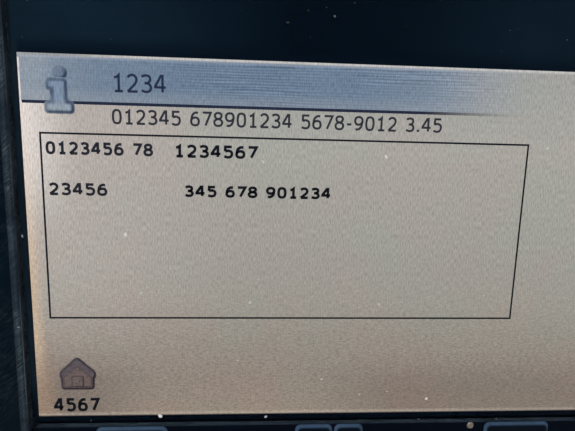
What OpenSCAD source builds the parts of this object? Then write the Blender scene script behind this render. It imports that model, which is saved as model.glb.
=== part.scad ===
// In-cab machine display with a seven inch screen, on a swivel and tilt bracket.
// Millimetres, +Z up. The screen looks along -Y and the origin is the centre of the base's underside.

/* [Screen] */
// Width of the lit picture
lit_w = 152.4; // [145:0.1:165]
// Height of the lit picture
lit_h = 91.44; // [86:0.01:100]
// Cover glass beside the picture, at the left and the right
glass_side = 1.6; // [1.4:0.1:5]
// Cover glass below the picture
glass_bottom = 2; // [1.6:0.1:4]
// Cover glass above the picture
glass_top = 19; // [12:0.5:24]
// Thickness of the cover glass
glass_t = 1.2; // [1:0.1:2]
// Depth of the glass's face below the frame's face
glass_recess = 0.3; // [0.1:0.1:0.8]
// Module of the screen beyond the picture on each side
module_rim = 4.5; // [3:0.5:5]
// Thickness of the screen's module behind the front wall
module_t = 6; // [4:0.5:7]

/* [Keys] */
// Distance from the middle key to the keys beside it
key_pitch = 52.2; // [44:0.1:56]
// Width of a key
key_w = 18.4; // [14:0.1:21]
// Height of a key
key_h = 11.4; // [8:0.1:12]
// How far a key stands out of its mat
key_rise = 1; // [0.8:0.1:3]
// Slope of a key's edge, seen from the front
key_slope = 0.8; // [0.4:0.1:1.5]
// Gap between the two parts of the middle key
key_split = 0.5; // [0.3:0.1:1]
// Height of the key mat
mat_h = 14.4; // [13.5:0.1:18]
// Distance from the top of the mat to the keys
key_drop = 0.3; // [0.2:0.1:1.2]
// Diameter of the status lamp
lamp_d = 2; // [1.6:0.1:2.2]

/* [Front frame] */
// Frame beside the lip, at the left and the right
frame_side = 15.4; // [12:0.1:20]
// Frame above the lip
frame_top = 8; // [6:0.1:14]
// Frame below the lip
frame_bottom = 8; // [6:0.1:14]
// Width of the raised lip round the glass
lip_w = 2.2; // [1.6:0.1:3]
// How far the lip stands out of the frame
lip_rise = 0.6; // [0.3:0.1:1.2]
// Corner radius of the frame
frame_r = 15; // [12:0.5:20]
// Rounding of the frame's front edge
frame_edge = 4; // [2:0.5:5]
// Depth of the frame
frame_d = 12; // [11.5:0.5:16]
// Thickness of the frame's front wall
front_wall = 4.4; // [4:0.1:5]
// Thickness of the side walls
wall = 3; // [2:0.1:4]

/* [Rear housing] */
// Thickness of the rubber seal
seal_t = 2; // [1:0.5:3]
// How far the seal lies inside the frame's outline
seal_inset = 1.2; // [0.6:0.1:2]
// Thickness of the housing's flange
flange_t = 3.5; // [2.5:0.5:5]
// Depth of the housing behind its flange
body_d = 22.5; // [22:0.5:30]
// How far the housing's body lies inside the frame's outline
body_inset = 6; // [5:0.5:8]
// Rounding of the body's rear edge
body_edge = 3; // [1.5:0.5:3.5]
// Number of cooling fins on each side
fin_count = 9; // [5:1:10]
// Distance between fins
fin_pitch = 5.4; // [4.5:0.1:6]
// Thickness of a fin
fin_t = 1.8; // [1.2:0.1:2.4]
// Height of a fin
fin_h = 5; // [3:0.5:7]
// Length of a fin
fin_l = 84; // [60:1:90]
// Width of the boss that carries the bracket
boss_w = 62; // [56:1:64]
// Height of the boss that carries the bracket
boss_l = 72; // [64:1:80]
// Thickness of the boss
boss_t = 4; // [3:0.5:6]
// Radius of the screws that hold the housing to the frame
case_screw_r = 2; // [1.5:0.25:2.25]

/* [Connectors] */
// Height of the connector row above the lower edge of the frame
socket_row = 23; // [22:0.5:26]
// Radius of a round socket's barrel
socket_r = 6; // [5:0.1:7]
// Length of a round socket's barrel
socket_l = 10; // [8:0.5:14]
// Distance between round sockets
socket_pitch = 22; // [20:0.5:24]
// Width of the large header
header_w = 46; // [36:1:48]
// Height of the large header
header_h = 20; // [16:1:22]
// Length of the large header
header_l = 15; // [14:0.5:18]
// Wall of the large header
header_wall = 2; // [1.4:0.1:2.5]
// Number of contacts in a row of the header
contacts = 10; // [6:1:12]

/* [Service port] */
// Height of the port's door
door_h = 36; // [32:1:44]
// Width of the port's door
door_w = 15; // [14.5:0.5:16]
// Thickness of the port's door
door_t = 2.2; // [1.8:0.1:3]
// Depth of the port behind its door
port_d = 10; // [8:0.5:12]
// Height of the port's middle above the middle of the picture
port_y = 34; // [30:1:35]
// Radius of the door's hinge barrel
barrel_r = 2.2; // [2:0.1:2.6]
// Radius of the door's hinge pin
door_pin_r = 1; // [0.8:0.1:1.2]

/* [Bracket] */
// Height of the tilt axis above the base's underside
tilt_z = 150; // [140:1:180]
// How far the tilt axis lies in front of the swivel axis
tilt_y = 20; // [14:1:24]
// Distance from the bracket's plate to the tilt axis
reach = 24; // [23:0.5:32]
// Thickness of the bracket's plate
plate_t = 5; // [4:0.5:7]
// Thickness of the bracket's tongue
tongue_t = 14; // [10:0.5:16]
// Radius of the tongue and of the fork's ears
ear_r = 15; // [13:0.5:16]
// Thickness of one ear of the fork
ear_t = 8; // [6:0.5:10]
// Thickness of a friction disc
disc_t = 0.8; // [0.5:0.1:1.5]
// Radius of the tilt bolt
bolt_r = 4; // [3:0.5:5]
// Radius of the screws in the bracket's plate
plate_screw_r = 2.5; // [2:0.5:3]

/* [Base] */
// Diameter of the base
base_d = 90; // [88:1:120]
// Thickness of the base
base_t = 8; // [6:0.5:12]
// Diameter of the circle of bolt holes
bolt_circle = 72; // [70:1:74]
// Diameter of a bolt hole
bolt_hole = 6.6; // [5.5:0.1:7]
// Radius of the swivel spigot
spigot_r = 13; // [11:0.5:15]
// Height of the swivel spigot above its shoulder
spigot_h = 22; // [18:1:23]
// Wall of the swivel hub round the spigot
hub_wall = 9; // [7:0.5:10]
// Radius of the hub's clamp screw
clamp_r = 3; // [2.5:0.5:3.5]

/* [Hidden] */
$fn = 64;

fit = 0.15;           // gap round a piece that lies in a pocket
run = 0.05;           // gap on the radius of a pin that turns
screw_gap = 0.2;      // gap on the radius of a screw that passes through a plate
slice = 0.01;         // thickness of a slice that only shapes a hull
past = 1;             // how far a cutter runs past what it cuts
bite = 0.02;          // how far a straight flank starts inside the circle that it leaves

// Depths behind the frame's face
glass_back = glass_recess + glass_t;
frame_back = frame_d;
seal_back = frame_back + seal_t;
flange_back = seal_back + flange_t;
body_back = flange_back + body_d;
boss_back = body_back + boss_t;
plate_back = boss_back + plate_t;
axis_back = plate_back + reach;

// Outline of the front, measured from the middle of the picture
glass_w = lit_w + 2 * glass_side;
glass_h = lit_h + glass_top + glass_bottom;
glass_y = (glass_top - glass_bottom) / 2;
mat_top = -lit_h / 2 - glass_bottom - fit;
mat_y = mat_top - mat_h / 2;
pocket_top = lit_h / 2 + glass_top + fit;
pocket_bottom = mat_top - mat_h - fit;
pocket_w = glass_w + 2 * fit;
pocket_h = pocket_top - pocket_bottom;
pocket_y = (pocket_top + pocket_bottom) / 2;
pocket_r = 2.4;
frame_w = pocket_w + 2 * (lip_w + frame_side);
frame_up = pocket_top + lip_w + frame_top;
frame_low = pocket_bottom - lip_w - frame_bottom;
frame_h = frame_up - frame_low;
frame_y = (frame_up + frame_low) / 2;

// Window for the screen's cell and the screen's module behind it
cell_rim = 0.6;
window_gap = 0.25;

// Bosses in the frame and their wells in the housing, as shares of the frame: column 1 across, 2 up
boss_spots = [[-1, -1], [0, -1], [1, -1], [-1, 1], [0, 1], [1, 1], [-1, 0], [1, 0]];
boss_in = 7.5;
corner_in = frame_r - (frame_r - boss_in) * sqrt(0.5);
boss_r = 4;
case_thread = 6;
well_r = 5.2;

// Keys: column 1 place in pitches from the middle, 2 and 3 the left and right end in key widths
KEYS = [
    ["key_1", -1, -0.5, 0.5],
    ["key_minus", 0, -0.5, 0.06],
    ["key_plus", 0, 0.06, 0.5],
    ["key_2", 1, -0.5, 0.5]
];
key_y = mat_top - key_drop - key_h / 2;
key_corner = 1.5;
key_round = 0.3;
lamp_beside = 3.7;
lamp_drop = 1.45;
lamp_x = key_pitch - key_w / 2 - lamp_beside;
lamp_y = mat_top - lamp_drop;
lamp_rise = 0.2;
lamp_edge = 0.3;

// Back of the display
fin_first = boss_w / 2 + 7;
fin_y = frame_up - body_inset - 8 - fin_l / 2;
socket_y = frame_low + socket_row;
socket_first = 32;
socket_x = [for (i = [0:2]) socket_first + i * socket_pitch];
socket_in = 4.4;
socket_flange_r = 9;
socket_flange_t = 2;
socket_contact_l = 4.5;
socket_contact_r = 0.5;
header_x = -55;
header_flange = 3;
header_floor = 2;
header_key = [12, 4];
contact_l = 6;
contact_r = 0.7;
contact_pitch = 4;
cap_gap = 0.3;
cap_wall = 1.7;
cap_top = 1.7;
cap_edge = 1;
cap_grip_r = 0.9;
vent_x = 0;
vent_up = 12;
vent_r = 6;
vent_bore = 3;
vent_af = 14;
vent_nut_t = 2.5;
vent_cap_t = 3;
vent_slot = 1.4;
stud_x = 0;
stud_up = 15;
stud_r = 2.5;
stud_l = 11;
stud_washer_r = 5;
stud_washer_t = 1;
stud_nut_af = 8;
stud_nut_t = 4;

// Service port in the right wall of the housing
side_x = frame_w / 2 - body_inset;
port_z = -(flange_back + 2.5 + door_w / 2);
door_gap = 0.3;
hinge_x = side_x + 0.4;
hinge_y = port_y + door_h / 2 + barrel_r + 0.2;
lug_t = 2.6;
lug_l = 4;
lug_gap = 0.25;
barrel_l = door_w - 2 * lug_t - 2 * lug_gap;
well_margin = 4;
port_wall = 2.5;
usb_w = 13.2;
usb_h = 5.8;
usb_l = 12;
usb_wall = 0.4;
usb_floor = 1;
usb_tongue_t = 1.8;
usb_tongue_in = 1.2;
usb_tongue_back = 1.5;
gasket_t = 1.5;
gasket_gap = 0.6;

// Bracket, in the row's own frame
axis_local_y = frame_y;
face_y = -tilt_y - axis_back;
face_z = tilt_z - axis_local_y;
plate_w = boss_w - 4;
plate_l = boss_l - 6;
plate_screw_x = plate_w / 2 - 8;
plate_screw_y = plate_l / 2 - 8;
thread_l = boss_t + 2;
slot_t = tongue_t + 2 * disc_t + 2 * run;
arm_t = slot_t + 2 * ear_t;
washer_t = 1.6;
washer_r = 8;
head_af = 13;
head_t = 5.5;
knob_r = 19;
knob_t = 14;
knob_neck = 5;

// Base and hub
shoulder_t = 1;
shoulder_r = 22;
hub_low = base_t + shoulder_t + 0.2;
hub_r = spigot_r + run + hub_wall;
hub_top = base_t + shoulder_t + spigot_h + 8;
hub_bore_top = base_t + shoulder_t + spigot_h + 1;
slit = 3;
lug_w = 8;
lug_out = 15;
clamp_y = hub_r + lug_out / 2;
clamp_z = hub_low + spigot_h / 2;
clamp_lug_r = 7;
clamp_knob_r = 11;
clamp_knob_t = 9;
clamp_knob_neck = 4;
clamp_head_r = 5;
clamp_head_t = 5;
clamp_hex_af = 5;
clamp_hex_depth = 2.5;

// A rectangle with round corners
module rounded_rect(w, h, r) {
    square([w - 2 * r, h], center = true);
    square([w, h - 2 * r], center = true);
    for (x = [-1, 1], y = [-1, 1])
        translate([x * (w / 2 - r), y * (h / 2 - r)]) circle(r);
}

// A block with round corners from z = -depth to z = 0, its upper edge rounded
module soft_block(w, h, r, depth, edge, steps = 4) {
    hull() {
        translate([0, 0, -depth]) linear_extrude(depth - edge) rounded_rect(w, h, r, $fn = 32);
        for (i = [1:steps])
            let (a = 90 * i / steps, inset = edge * (1 - cos(a)))
                translate([0, 0, edge * (sin(a) - 1) - slice])
                    linear_extrude(slice) rounded_rect(w - 2 * inset, h - 2 * inset, r - inset, $fn = 32);
    }
}

// Two circles joined by their outer tangents; each end is [across, up, radius]
module link(a, b) {
    d = norm([b[0] - a[0], b[1] - a[1]]);
    turn = atan2(b[1] - a[1], b[0] - a[0]);
    lean = acos((a[2] - b[2]) / d);
    translate([a[0], a[1]]) circle(a[2]);
    translate([b[0], b[1]]) circle(b[2]);
    polygon([for (e = [[a, 1], [b, 1], [b, -1], [a, -1]])
        let (end = e[0], r = end[2] - bite, way = turn + e[1] * lean)
            [end[0] + r * cos(way), end[1] + r * sin(way)]]);
}

// A profile drawn in Y and Z, given its thickness across X
module across(t) {
    rotate([90, 0, 90]) linear_extrude(t, center = true) children();
}

// A round piece along +X that starts at x
module along_x(x, r, l) {
    translate([x, 0, 0]) rotate([0, 90, 0]) cylinder(r = r, h = l);
}

// Places what is drawn on the face of the display, with x right, y up and z towards the viewer
module on_display() {
    translate([0, face_y, face_z]) rotate([90, 0, 0]) children();
}

// Places what is drawn round the tilt axis
module at_tilt() {
    translate([0, -tilt_y, tilt_z]) children();
}

// Places what is drawn on the back of the display, with z pointing out of the back
module on_back(x, y) {
    translate([x, y, -body_back]) mirror([0, 0, 1]) children();
}

// Repeats its children at the screw bosses of the frame
module at_bosses() {
    for (s = boss_spots)
        let (inset = s[0] * s[1] == 0 ? boss_in : corner_in)
            translate([s[0] * (frame_w / 2 - inset), frame_y + s[1] * (frame_h / 2 - inset)]) children();
}

// Repeats its children at the screws of the bracket's plate
module at_plate_screws() {
    for (x = [-1, 1], y = [-1, 1]) translate([x * plate_screw_x, y * plate_screw_y]) children();
}

// A socket-head screw along z with its head above z = 0
module cap_screw(r, l, head_h) {
    difference() {
        union() {
            translate([0, 0, -l]) cylinder(r = r, h = l + slice);
            cylinder(r = r * 1.75, h = head_h - 0.4);
            translate([0, 0, head_h - 0.4]) cylinder(r1 = r * 1.75, r2 = r * 1.75 - 0.4, h = 0.4);
        }
        translate([0, 0, head_h * 0.4]) cylinder(r = r * 0.9, h = head_h, $fn = 6);
    }
}

// A knob with lobes that grows from z = 0, its neck first
module lobed_knob(r, t, neck, lobes, bore, bore_l) {
    lobe_r = r * 0.26;
    difference() {
        union() {
            cylinder(r = r * 0.5, h = neck + past);
            translate([0, 0, neck]) intersection() {
                linear_extrude(t) union() {
                    circle(r * 0.76);
                    for (i = [0:lobes - 1])
                        rotate(i * 360 / lobes) translate([r - lobe_r, 0]) circle(lobe_r);
                }
                rotate_extrude() polygon([
                    [0, 0], [r - t * 0.12, 0], [r + slice, t * 0.12], [r + slice, t * 0.72],
                    [r * 0.82, t * 0.94], [r * 0.5, t], [0, t]
                ]);
            }
        }
        translate([0, 0, -past]) cylinder(r = bore, h = bore_l + past);
    }
}

// Base that is bolted to the console, with the spigot on which the arm swivels
module base_flange() {
    edge = 3;
    head_room = 4.6;
    head_depth = 2.5;
    top = base_t + shoulder_t + spigot_h;
    color("dimgray") difference() {
        rotate_extrude() polygon([
            [0, 0], [base_d / 2 - 1, 0], [base_d / 2, 1],
            [base_d / 2, base_t - edge], [base_d / 2 - edge, base_t],
            [shoulder_r + shoulder_t, base_t], [shoulder_r, base_t + shoulder_t],
            [spigot_r, base_t + shoulder_t], [spigot_r, top - 1], [spigot_r - 1, top], [0, top]
        ]);
        for (i = [0:3])
            rotate(45 + 90 * i) translate([bolt_circle / 2, 0, -past]) {
                cylinder(d = bolt_hole, h = base_t + 2 * past);
                translate([0, 0, past + base_t - head_depth])
                    cylinder(d = bolt_hole + head_room, h = 2 * past + head_depth);
            }
    }
}

// Side shape of the arm, and of the pocket in each of its sides
module arm_side(cut = false) {
    foot = [0, hub_top + 5, 14];
    elbow = [3, hub_top + 45, 12.5];
    head = [-tilt_y, tilt_z, ear_r];
    rim = 5.5;
    if (cut) {
        low = [0.5, foot[1] + 13, foot[2] - rim];
        bend = [elbow[0], elbow[1], elbow[2] - rim];
        along = 0.56;
        high = [for (i = [0, 1]) elbow[i] + (head[i] - elbow[i]) * along];
        link(low, bend);
        link(bend, [high[0], high[1], bend[2] - 0.6]);
    } else {
        link(foot, elbow);
        link(elbow, head);
    }
}

// Cast arm: a clamped hub that turns on the spigot, a ribbed post and the fork of the tilt hinge
module swivel_arm() {
    pocket_depth = 8;
    slot_below = 7;
    slot_behind = 12;
    color("dimgray") difference() {
        union() {
            rotate_extrude() polygon([
                [0, hub_low], [hub_r - 1, hub_low], [hub_r, hub_low + 1], [hub_r, hub_top - 5],
                [hub_r - 3, hub_top], [0, hub_top]
            ]);
            across(arm_t) arm_side();
            translate([0, clamp_y, clamp_z]) across(2 * lug_w + slit) {
                circle(clamp_lug_r);
                translate([-lug_out / 2 - 4, -clamp_lug_r]) square([lug_out / 2 + 4, 2 * clamp_lug_r]);
            }
        }
        translate([0, 0, hub_low - past])
            cylinder(r = spigot_r + run, h = hub_bore_top - hub_low + past);
        translate([-slit / 2, 0, hub_low - past])
            cube([slit, hub_r + lug_out + past, hub_bore_top - hub_low + past]);
        translate([0, clamp_y, clamp_z]) along_x(-lug_w - slit, clamp_r + run, 2 * (lug_w + slit));
        for (s = [-1, 1])
            translate([s * (arm_t / 2 - pocket_depth / 2 + past / 2), 0, 0])
                across(pocket_depth + past) arm_side(true);
        at_tilt() translate([-slot_t / 2, -ear_r - past, -ear_r - slot_below])
            cube([slot_t, 2 * (ear_r + past) + slot_behind, 2 * ear_r + slot_below + past]);
        at_tilt() along_x(-arm_t / 2 - past, bolt_r + run, arm_t + 2 * past);
    }
}

// Friction discs between the fork's ears and the tongue
module friction_discs() {
    color("tan") at_tilt() for (s = [-1, 1])
        translate([s * (slot_t / 2 - disc_t / 2), 0, 0]) rotate([0, 90, 0]) difference() {
            cylinder(r = ear_r - 2, h = disc_t, center = true);
            cylinder(r = bolt_r + run, h = disc_t + past, center = true);
        }
}

// Bolt of the tilt hinge, its head on the left
module tilt_bolt() {
    head_x = -arm_t / 2 - washer_t;
    color("silver") at_tilt() {
        along_x(head_x - slice, bolt_r, arm_t + 2 * washer_t + knob_neck + knob_t * 0.5);
        translate([head_x - head_t, 0, 0]) rotate([0, 90, 0])
            cylinder(d = head_af / cos(30), h = head_t, $fn = 6);
    }
}

// Plain washers outside the ears
module tilt_washers() {
    color("silver") at_tilt() for (x = [-arm_t / 2 - washer_t, arm_t / 2])
        difference() {
            along_x(x, washer_r, washer_t);
            along_x(x - past, bolt_r + run, washer_t + 2 * past);
        }
}

// Knob that tightens the tilt hinge
module tilt_knob() {
    color("black") at_tilt() translate([arm_t / 2 + washer_t, 0, 0]) rotate([0, 90, 0])
        lobed_knob(knob_r, knob_t, knob_neck, 7, bolt_r + run, knob_neck + knob_t * 0.6);
}

// Screw that closes the hub's clamp
module clamp_screw() {
    half = lug_w + slit / 2;
    color("silver") translate([0, clamp_y, clamp_z]) {
        along_x(-half - slice, clamp_r, 2 * half + clamp_knob_neck + clamp_knob_t * 0.5);
        translate([-half - clamp_head_t, 0, 0]) rotate([0, 90, 0]) difference() {
            cylinder(r = clamp_head_r, h = clamp_head_t);
            translate([0, 0, -past])
                cylinder(d = clamp_hex_af / cos(30), h = clamp_hex_depth + past, $fn = 6);
        }
    }
}

// Knob on the clamp screw
module clamp_knob() {
    bore_l = clamp_knob_neck + clamp_knob_t * 0.6;
    color("black") translate([lug_w + slit / 2, clamp_y, clamp_z]) rotate([0, 90, 0])
        lobed_knob(clamp_knob_r, clamp_knob_t, clamp_knob_neck, 5, clamp_r + run, bore_l);
}

// Plate on the back of the display with the tongue of the tilt hinge
module tilt_bracket() {
    root = 9;
    color("dimgray") on_display() translate([0, axis_local_y, 0]) difference() {
        union() {
            translate([0, 0, -plate_back]) linear_extrude(plate_t) rounded_rect(plate_w, plate_l, 6);
            across(tongue_t) {
                translate([0, -axis_back]) circle(ear_r);
                polygon([
                    [-ear_r + bite, -axis_back], [-ear_r + bite, -plate_back - root],
                    [-ear_r - root, -plate_back], [-ear_r - root, -plate_back + past],
                    [ear_r + root, -plate_back + past], [ear_r + root, -plate_back],
                    [ear_r - bite, -plate_back - root], [ear_r - bite, -axis_back]
                ]);
            }
        }
        translate([0, 0, -axis_back]) along_x(-tongue_t, bolt_r + run, 2 * tongue_t);
        translate([0, 0, -plate_back - past]) at_plate_screws()
            cylinder(r = plate_screw_r + screw_gap, h = plate_t + 2 * past);
    }
}

// Screws that hold the bracket's plate to the boss
module plate_screws() {
    color("silver") on_display() translate([0, axis_local_y, -plate_back]) mirror([0, 0, 1])
        at_plate_screws() cap_screw(plate_screw_r, plate_t + thread_l - 0.5, 4);
}

// Screws in the wells of the housing, threaded into the frame
module housing_screws() {
    color("silver") on_display() translate([0, 0, -flange_back]) mirror([0, 0, 1])
        at_bosses() cap_screw(case_screw_r, flange_t + seal_t + case_thread - 0.5, 3.4);
}

// Cast rear housing with cooling fins, the bracket's boss and the service port
module rear_housing() {
    body_w = frame_w - 2 * body_inset;
    body_h = frame_h - 2 * body_inset;
    color("darkslategray") on_display() difference() {
        union() {
            translate([0, frame_y, -flange_back]) linear_extrude(flange_t)
                rounded_rect(frame_w - 1, frame_h - 1, frame_r - 0.5);
            translate([0, frame_y, -body_back]) mirror([0, 0, 1])
                soft_block(body_w, body_h, frame_r - body_inset, body_d + past, body_edge);
            translate([0, axis_local_y, -boss_back]) linear_extrude(boss_t + past)
                rounded_rect(boss_w, boss_l, 8);
            for (s = [-1, 1], i = [0:fin_count - 1])
                translate([s * (fin_first + i * fin_pitch), fin_y, -body_back - fin_h])
                    linear_extrude(fin_h + past) rounded_rect(fin_t, fin_l, fin_t / 2 - slice);
            hinge_lugs();
        }
        // Space inside, kept clear of the screw wells and of the service port
        translate([0, 0, -body_back + wall]) linear_extrude(body_d + flange_t + past - wall) difference() {
            translate([0, frame_y])
                rounded_rect(body_w - 2 * wall, body_h - 2 * wall, frame_r - body_inset - wall);
            at_bosses() circle(well_r + 2);
            translate([side_x - door_t - port_d - port_wall, port_y - door_h / 2 - port_wall])
                square([door_t + port_d + port_wall, door_h + 2 * port_wall + 6]);
            translate([side_x - door_t - port_d - usb_l - port_wall, port_y - usb_w / 2 - port_wall])
                square([usb_l + 2 * port_wall, usb_w + 2 * port_wall]);
        }
        // Wells for the screws at the back of the flange
        translate([0, 0, -body_back - past]) linear_extrude(body_d + past) at_bosses() circle(well_r);
        translate([0, 0, -flange_back - past]) linear_extrude(flange_t + 2 * past)
            at_bosses() circle(case_screw_r + screw_gap);
        translate([0, axis_local_y, -boss_back - past]) at_plate_screws()
            cylinder(r = plate_screw_r + run, h = thread_l + past);
        // Seat of the door, with room for its barrel
        door_seat();
        translate([side_x - door_t - port_d, port_y - port_h() / 2, port_z - port_w() / 2])
            cube([port_d + past, port_h(), port_w()]);
        translate([side_x - door_t - port_d - usb_l, port_y - usb_w / 2 - fit, port_z - usb_h / 2 - fit])
            cube([usb_l + past, usb_w + 2 * fit, usb_h + 2 * fit]);
        translate([hinge_x, hinge_y, port_z]) cylinder(r = door_pin_r + run, h = door_w + 4, center = true);
        // Holes behind the connectors
        for (x = socket_x)
            on_back(x, socket_y) translate([0, 0, -wall - past])
                cylinder(r = socket_in, h = wall + 2 * past);
        on_back(vent_x, frame_up - body_inset - vent_up) translate([0, 0, -wall - past])
            cylinder(r = vent_bore, h = wall + 2 * past);
    }
}

function port_h() = door_h - 2 * well_margin;
function port_w() = door_w - 4;

// Two lugs that carry the door's hinge pin
module hinge_lugs() {
    for (s = [-1, 1])
        translate([hinge_x, hinge_y, port_z + s * (door_w - lug_t) / 2])
            linear_extrude(lug_t, center = true) {
                circle(barrel_r);
                translate([-lug_l, -barrel_r]) square([lug_l, 2 * barrel_r]);
            }
}

// Room cut in the side wall for the door and its barrel, less the hinge lugs
module door_seat() {
    low = port_y - door_h / 2 - door_gap;
    difference() {
        translate([side_x - door_t, low, port_z - door_w / 2 - door_gap])
            cube([door_t + past, hinge_y + barrel_r + door_gap - low, door_w + 2 * door_gap]);
        hinge_lugs();
    }
}

// Rubber seal between the frame and the housing
module housing_seal() {
    inner = seal_inset + 3;
    color("black") on_display() translate([0, frame_y, -seal_back]) linear_extrude(seal_t) difference() {
        rounded_rect(frame_w - 2 * seal_inset, frame_h - 2 * seal_inset, frame_r - seal_inset);
        rounded_rect(frame_w - 2 * inner, frame_h - 2 * inner, frame_r - inner);
    }
}

// Moulded front frame with the pocket for the glass and the keys
module front_bezel() {
    mouth = 0.4;
    window_rim = cell_rim + window_gap;
    lip_out_w = pocket_w + 2 * lip_w;
    lip_out_h = pocket_h + 2 * lip_w;
    color("black") on_display() difference() {
        union() {
            translate([0, frame_y, 0]) soft_block(frame_w, frame_h, frame_r, frame_d, frame_edge);
            translate([0, pocket_y, lip_rise])
                soft_block(lip_out_w, lip_out_h, pocket_r + lip_w, lip_rise + past, lip_rise, 3);
        }
        translate([0, pocket_y, -glass_back]) linear_extrude(glass_back + lip_rise + past)
            rounded_rect(pocket_w, pocket_h, pocket_r);
        hull() {
            translate([0, pocket_y, -glass_recess]) linear_extrude(slice)
                rounded_rect(pocket_w, pocket_h, pocket_r);
            translate([0, pocket_y, lip_rise + slice]) linear_extrude(slice)
                rounded_rect(pocket_w + 2 * mouth, pocket_h + 2 * mouth, pocket_r + mouth);
        }
        translate([0, 0, -front_wall - past]) linear_extrude(front_wall + 2 * past)
            rounded_rect(lit_w + 2 * window_rim, lit_h + 2 * window_rim, 0.5);
        translate([0, 0, -frame_d - past]) linear_extrude(frame_d - front_wall + past) difference() {
            translate([0, frame_y]) rounded_rect(frame_w - 2 * wall, frame_h - 2 * wall, frame_r - wall);
            at_bosses() circle(boss_r);
        }
        translate([lamp_x, lamp_y, -front_wall - past])
            cylinder(d = lamp_d + 2 * fit, h = front_wall + 2 * past);
        translate([0, 0, -frame_d - past]) at_bosses()
            cylinder(r = case_screw_r + run, h = case_thread + past);
    }
}

// Touch glass over the picture and the dark band above it
module cover_glass() {
    color("black", 0.5) on_display() translate([0, glass_y, -glass_back]) linear_extrude(glass_t)
        rounded_rect(glass_w, glass_h, pocket_r - fit);
}

// Screen: its cell stands in the window and its module lies behind the wall
module screen_module() {
    color("darkgray") on_display() {
        translate([0, 0, -front_wall - slice]) linear_extrude(front_wall - glass_back + slice)
            square([lit_w + 2 * cell_rim, lit_h + 2 * cell_rim], center = true);
        translate([0, 0, -front_wall - module_t]) linear_extrude(module_t)
            rounded_rect(lit_w + 2 * module_rim, lit_h + 2 * module_rim, 1.5);
    }
}

// Rubber mat under the keys
module key_mat() {
    color("black") on_display() difference() {
        translate([0, mat_y, -glass_back]) linear_extrude(glass_back - glass_recess)
            rounded_rect(glass_w, mat_h, pocket_r - fit);
        translate([lamp_x, lamp_y, -glass_back - past])
            cylinder(d = lamp_d + 2 * fit, h = glass_t + 2 * past);
    }
}

// One key cap with sloped edges and a rounded rim; an end inside the key leaves half the split free
module key_cap(place, from, to) {
    left = place * key_pitch + from * key_w + (from > -0.5 ? key_split / 2 : 0);
    right = place * key_pitch + to * key_w - (to < 0.5 ? key_split / 2 : 0);
    // Each step: how far it lies inside the outline, and its height
    steps = [
        [0, 0.2],
        [key_slope - key_round, key_rise - key_round],
        [key_slope + key_round, key_rise - slice]
    ];
    color("dimgray") on_display() translate([(left + right) / 2, key_y, -glass_recess]) hull() {
        linear_extrude(slice) rounded_rect(right - left, key_h, key_corner, $fn = 24);
        for (s = steps)
            translate([0, 0, s[1]]) linear_extrude(slice)
                rounded_rect(right - left - 2 * s[0], key_h - 2 * s[0], key_corner - s[0] / 2, $fn = 24);
    }
}

// Clear lens of the status lamp
module status_lamp() {
    straight = front_wall - glass_recess + lamp_rise - lamp_edge;
    color("orange") on_display() translate([lamp_x, lamp_y, -front_wall]) {
        cylinder(d = lamp_d, h = straight);
        translate([0, 0, straight]) cylinder(d1 = lamp_d, d2 = lamp_d - 2 * lamp_edge, h = lamp_edge);
    }
}

// Large header: a flange on the back wall and a shroud round its contacts
module main_header() {
    color("black") on_display() on_back(header_x, socket_y) difference() {
        union() {
            linear_extrude(header_floor)
                rounded_rect(header_w + 2 * header_flange, header_h + 2 * header_flange, 4);
            linear_extrude(header_l) rounded_rect(header_w, header_h, 3);
            translate([0, header_h / 2, header_floor]) linear_extrude(header_l * 2 / 3)
                square(header_key, center = true);
        }
        translate([0, 0, header_floor]) linear_extrude(header_l)
            rounded_rect(header_w - 2 * header_wall, header_h - 2 * header_wall, 1.5);
    }
}

// Contacts of the large header
module header_contacts() {
    pitch = contact_pitch * 10 / max(10, contacts);
    color("gold") on_display() on_back(header_x, socket_y)
        for (i = [0:contacts - 1], s = [-1, 1])
            translate([(i - (contacts - 1) / 2) * pitch, s * header_h / 6, header_floor])
                cylinder(r = contact_r, h = contact_l);
}

// Round socket: a flange, a barrel and the floor that holds its contacts
module round_socket(i) {
    color("silver") on_display() on_back(socket_x[i], socket_y) difference() {
        union() {
            cylinder(r = socket_flange_r, h = socket_flange_t);
            cylinder(r = socket_r, h = socket_flange_t + socket_l);
        }
        translate([0, 0, socket_flange_t]) cylinder(r = socket_in, h = socket_l + past);
    }
}

// Contacts of the round sockets that have no cap
module socket_contacts() {
    color("gold") on_display() for (i = [0, 1], a = [45:90:315])
        on_back(socket_x[i], socket_y) rotate(a) translate([socket_in * 0.52, 0, socket_flange_t])
            cylinder(r = socket_contact_r, h = socket_contact_l);
}

// Screw cap on the right socket
module dust_cap() {
    r = socket_r + cap_gap + cap_wall;
    h = socket_l + cap_gap + cap_top;
    color("dimgray") on_display() on_back(socket_x[2], socket_y) translate([0, 0, socket_flange_t])
        difference() {
            union() {
                cylinder(r = r, h = h - cap_edge);
                translate([0, 0, h - cap_edge]) cylinder(r1 = r, r2 = r - cap_edge, h = cap_edge);
            }
            translate([0, 0, -past]) cylinder(r = socket_r + cap_gap, h = past + socket_l + cap_gap);
            for (a = [0:20:340])
                rotate(a) translate([r + cap_grip_r / 2, 0, 2]) cylinder(r = cap_grip_r, h = h);
        }
}

// Vent that lets the housing breathe
module vent_plug() {
    color("black") on_display() on_back(vent_x, frame_up - body_inset - vent_up) {
        cylinder(d = vent_af / cos(30), h = vent_nut_t, $fn = 6);
        translate([0, 0, vent_nut_t - slice]) difference() {
            cylinder(r = vent_r, h = vent_cap_t);
            for (a = [0:60:120])
                rotate(a) translate([0, 0, vent_slot / 2])
                    cube([3 * vent_r, vent_slot, vent_slot], center = true);
        }
        translate([0, 0, -wall]) cylinder(r = vent_bore - 2 * run, h = wall + slice);
    }
}

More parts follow.
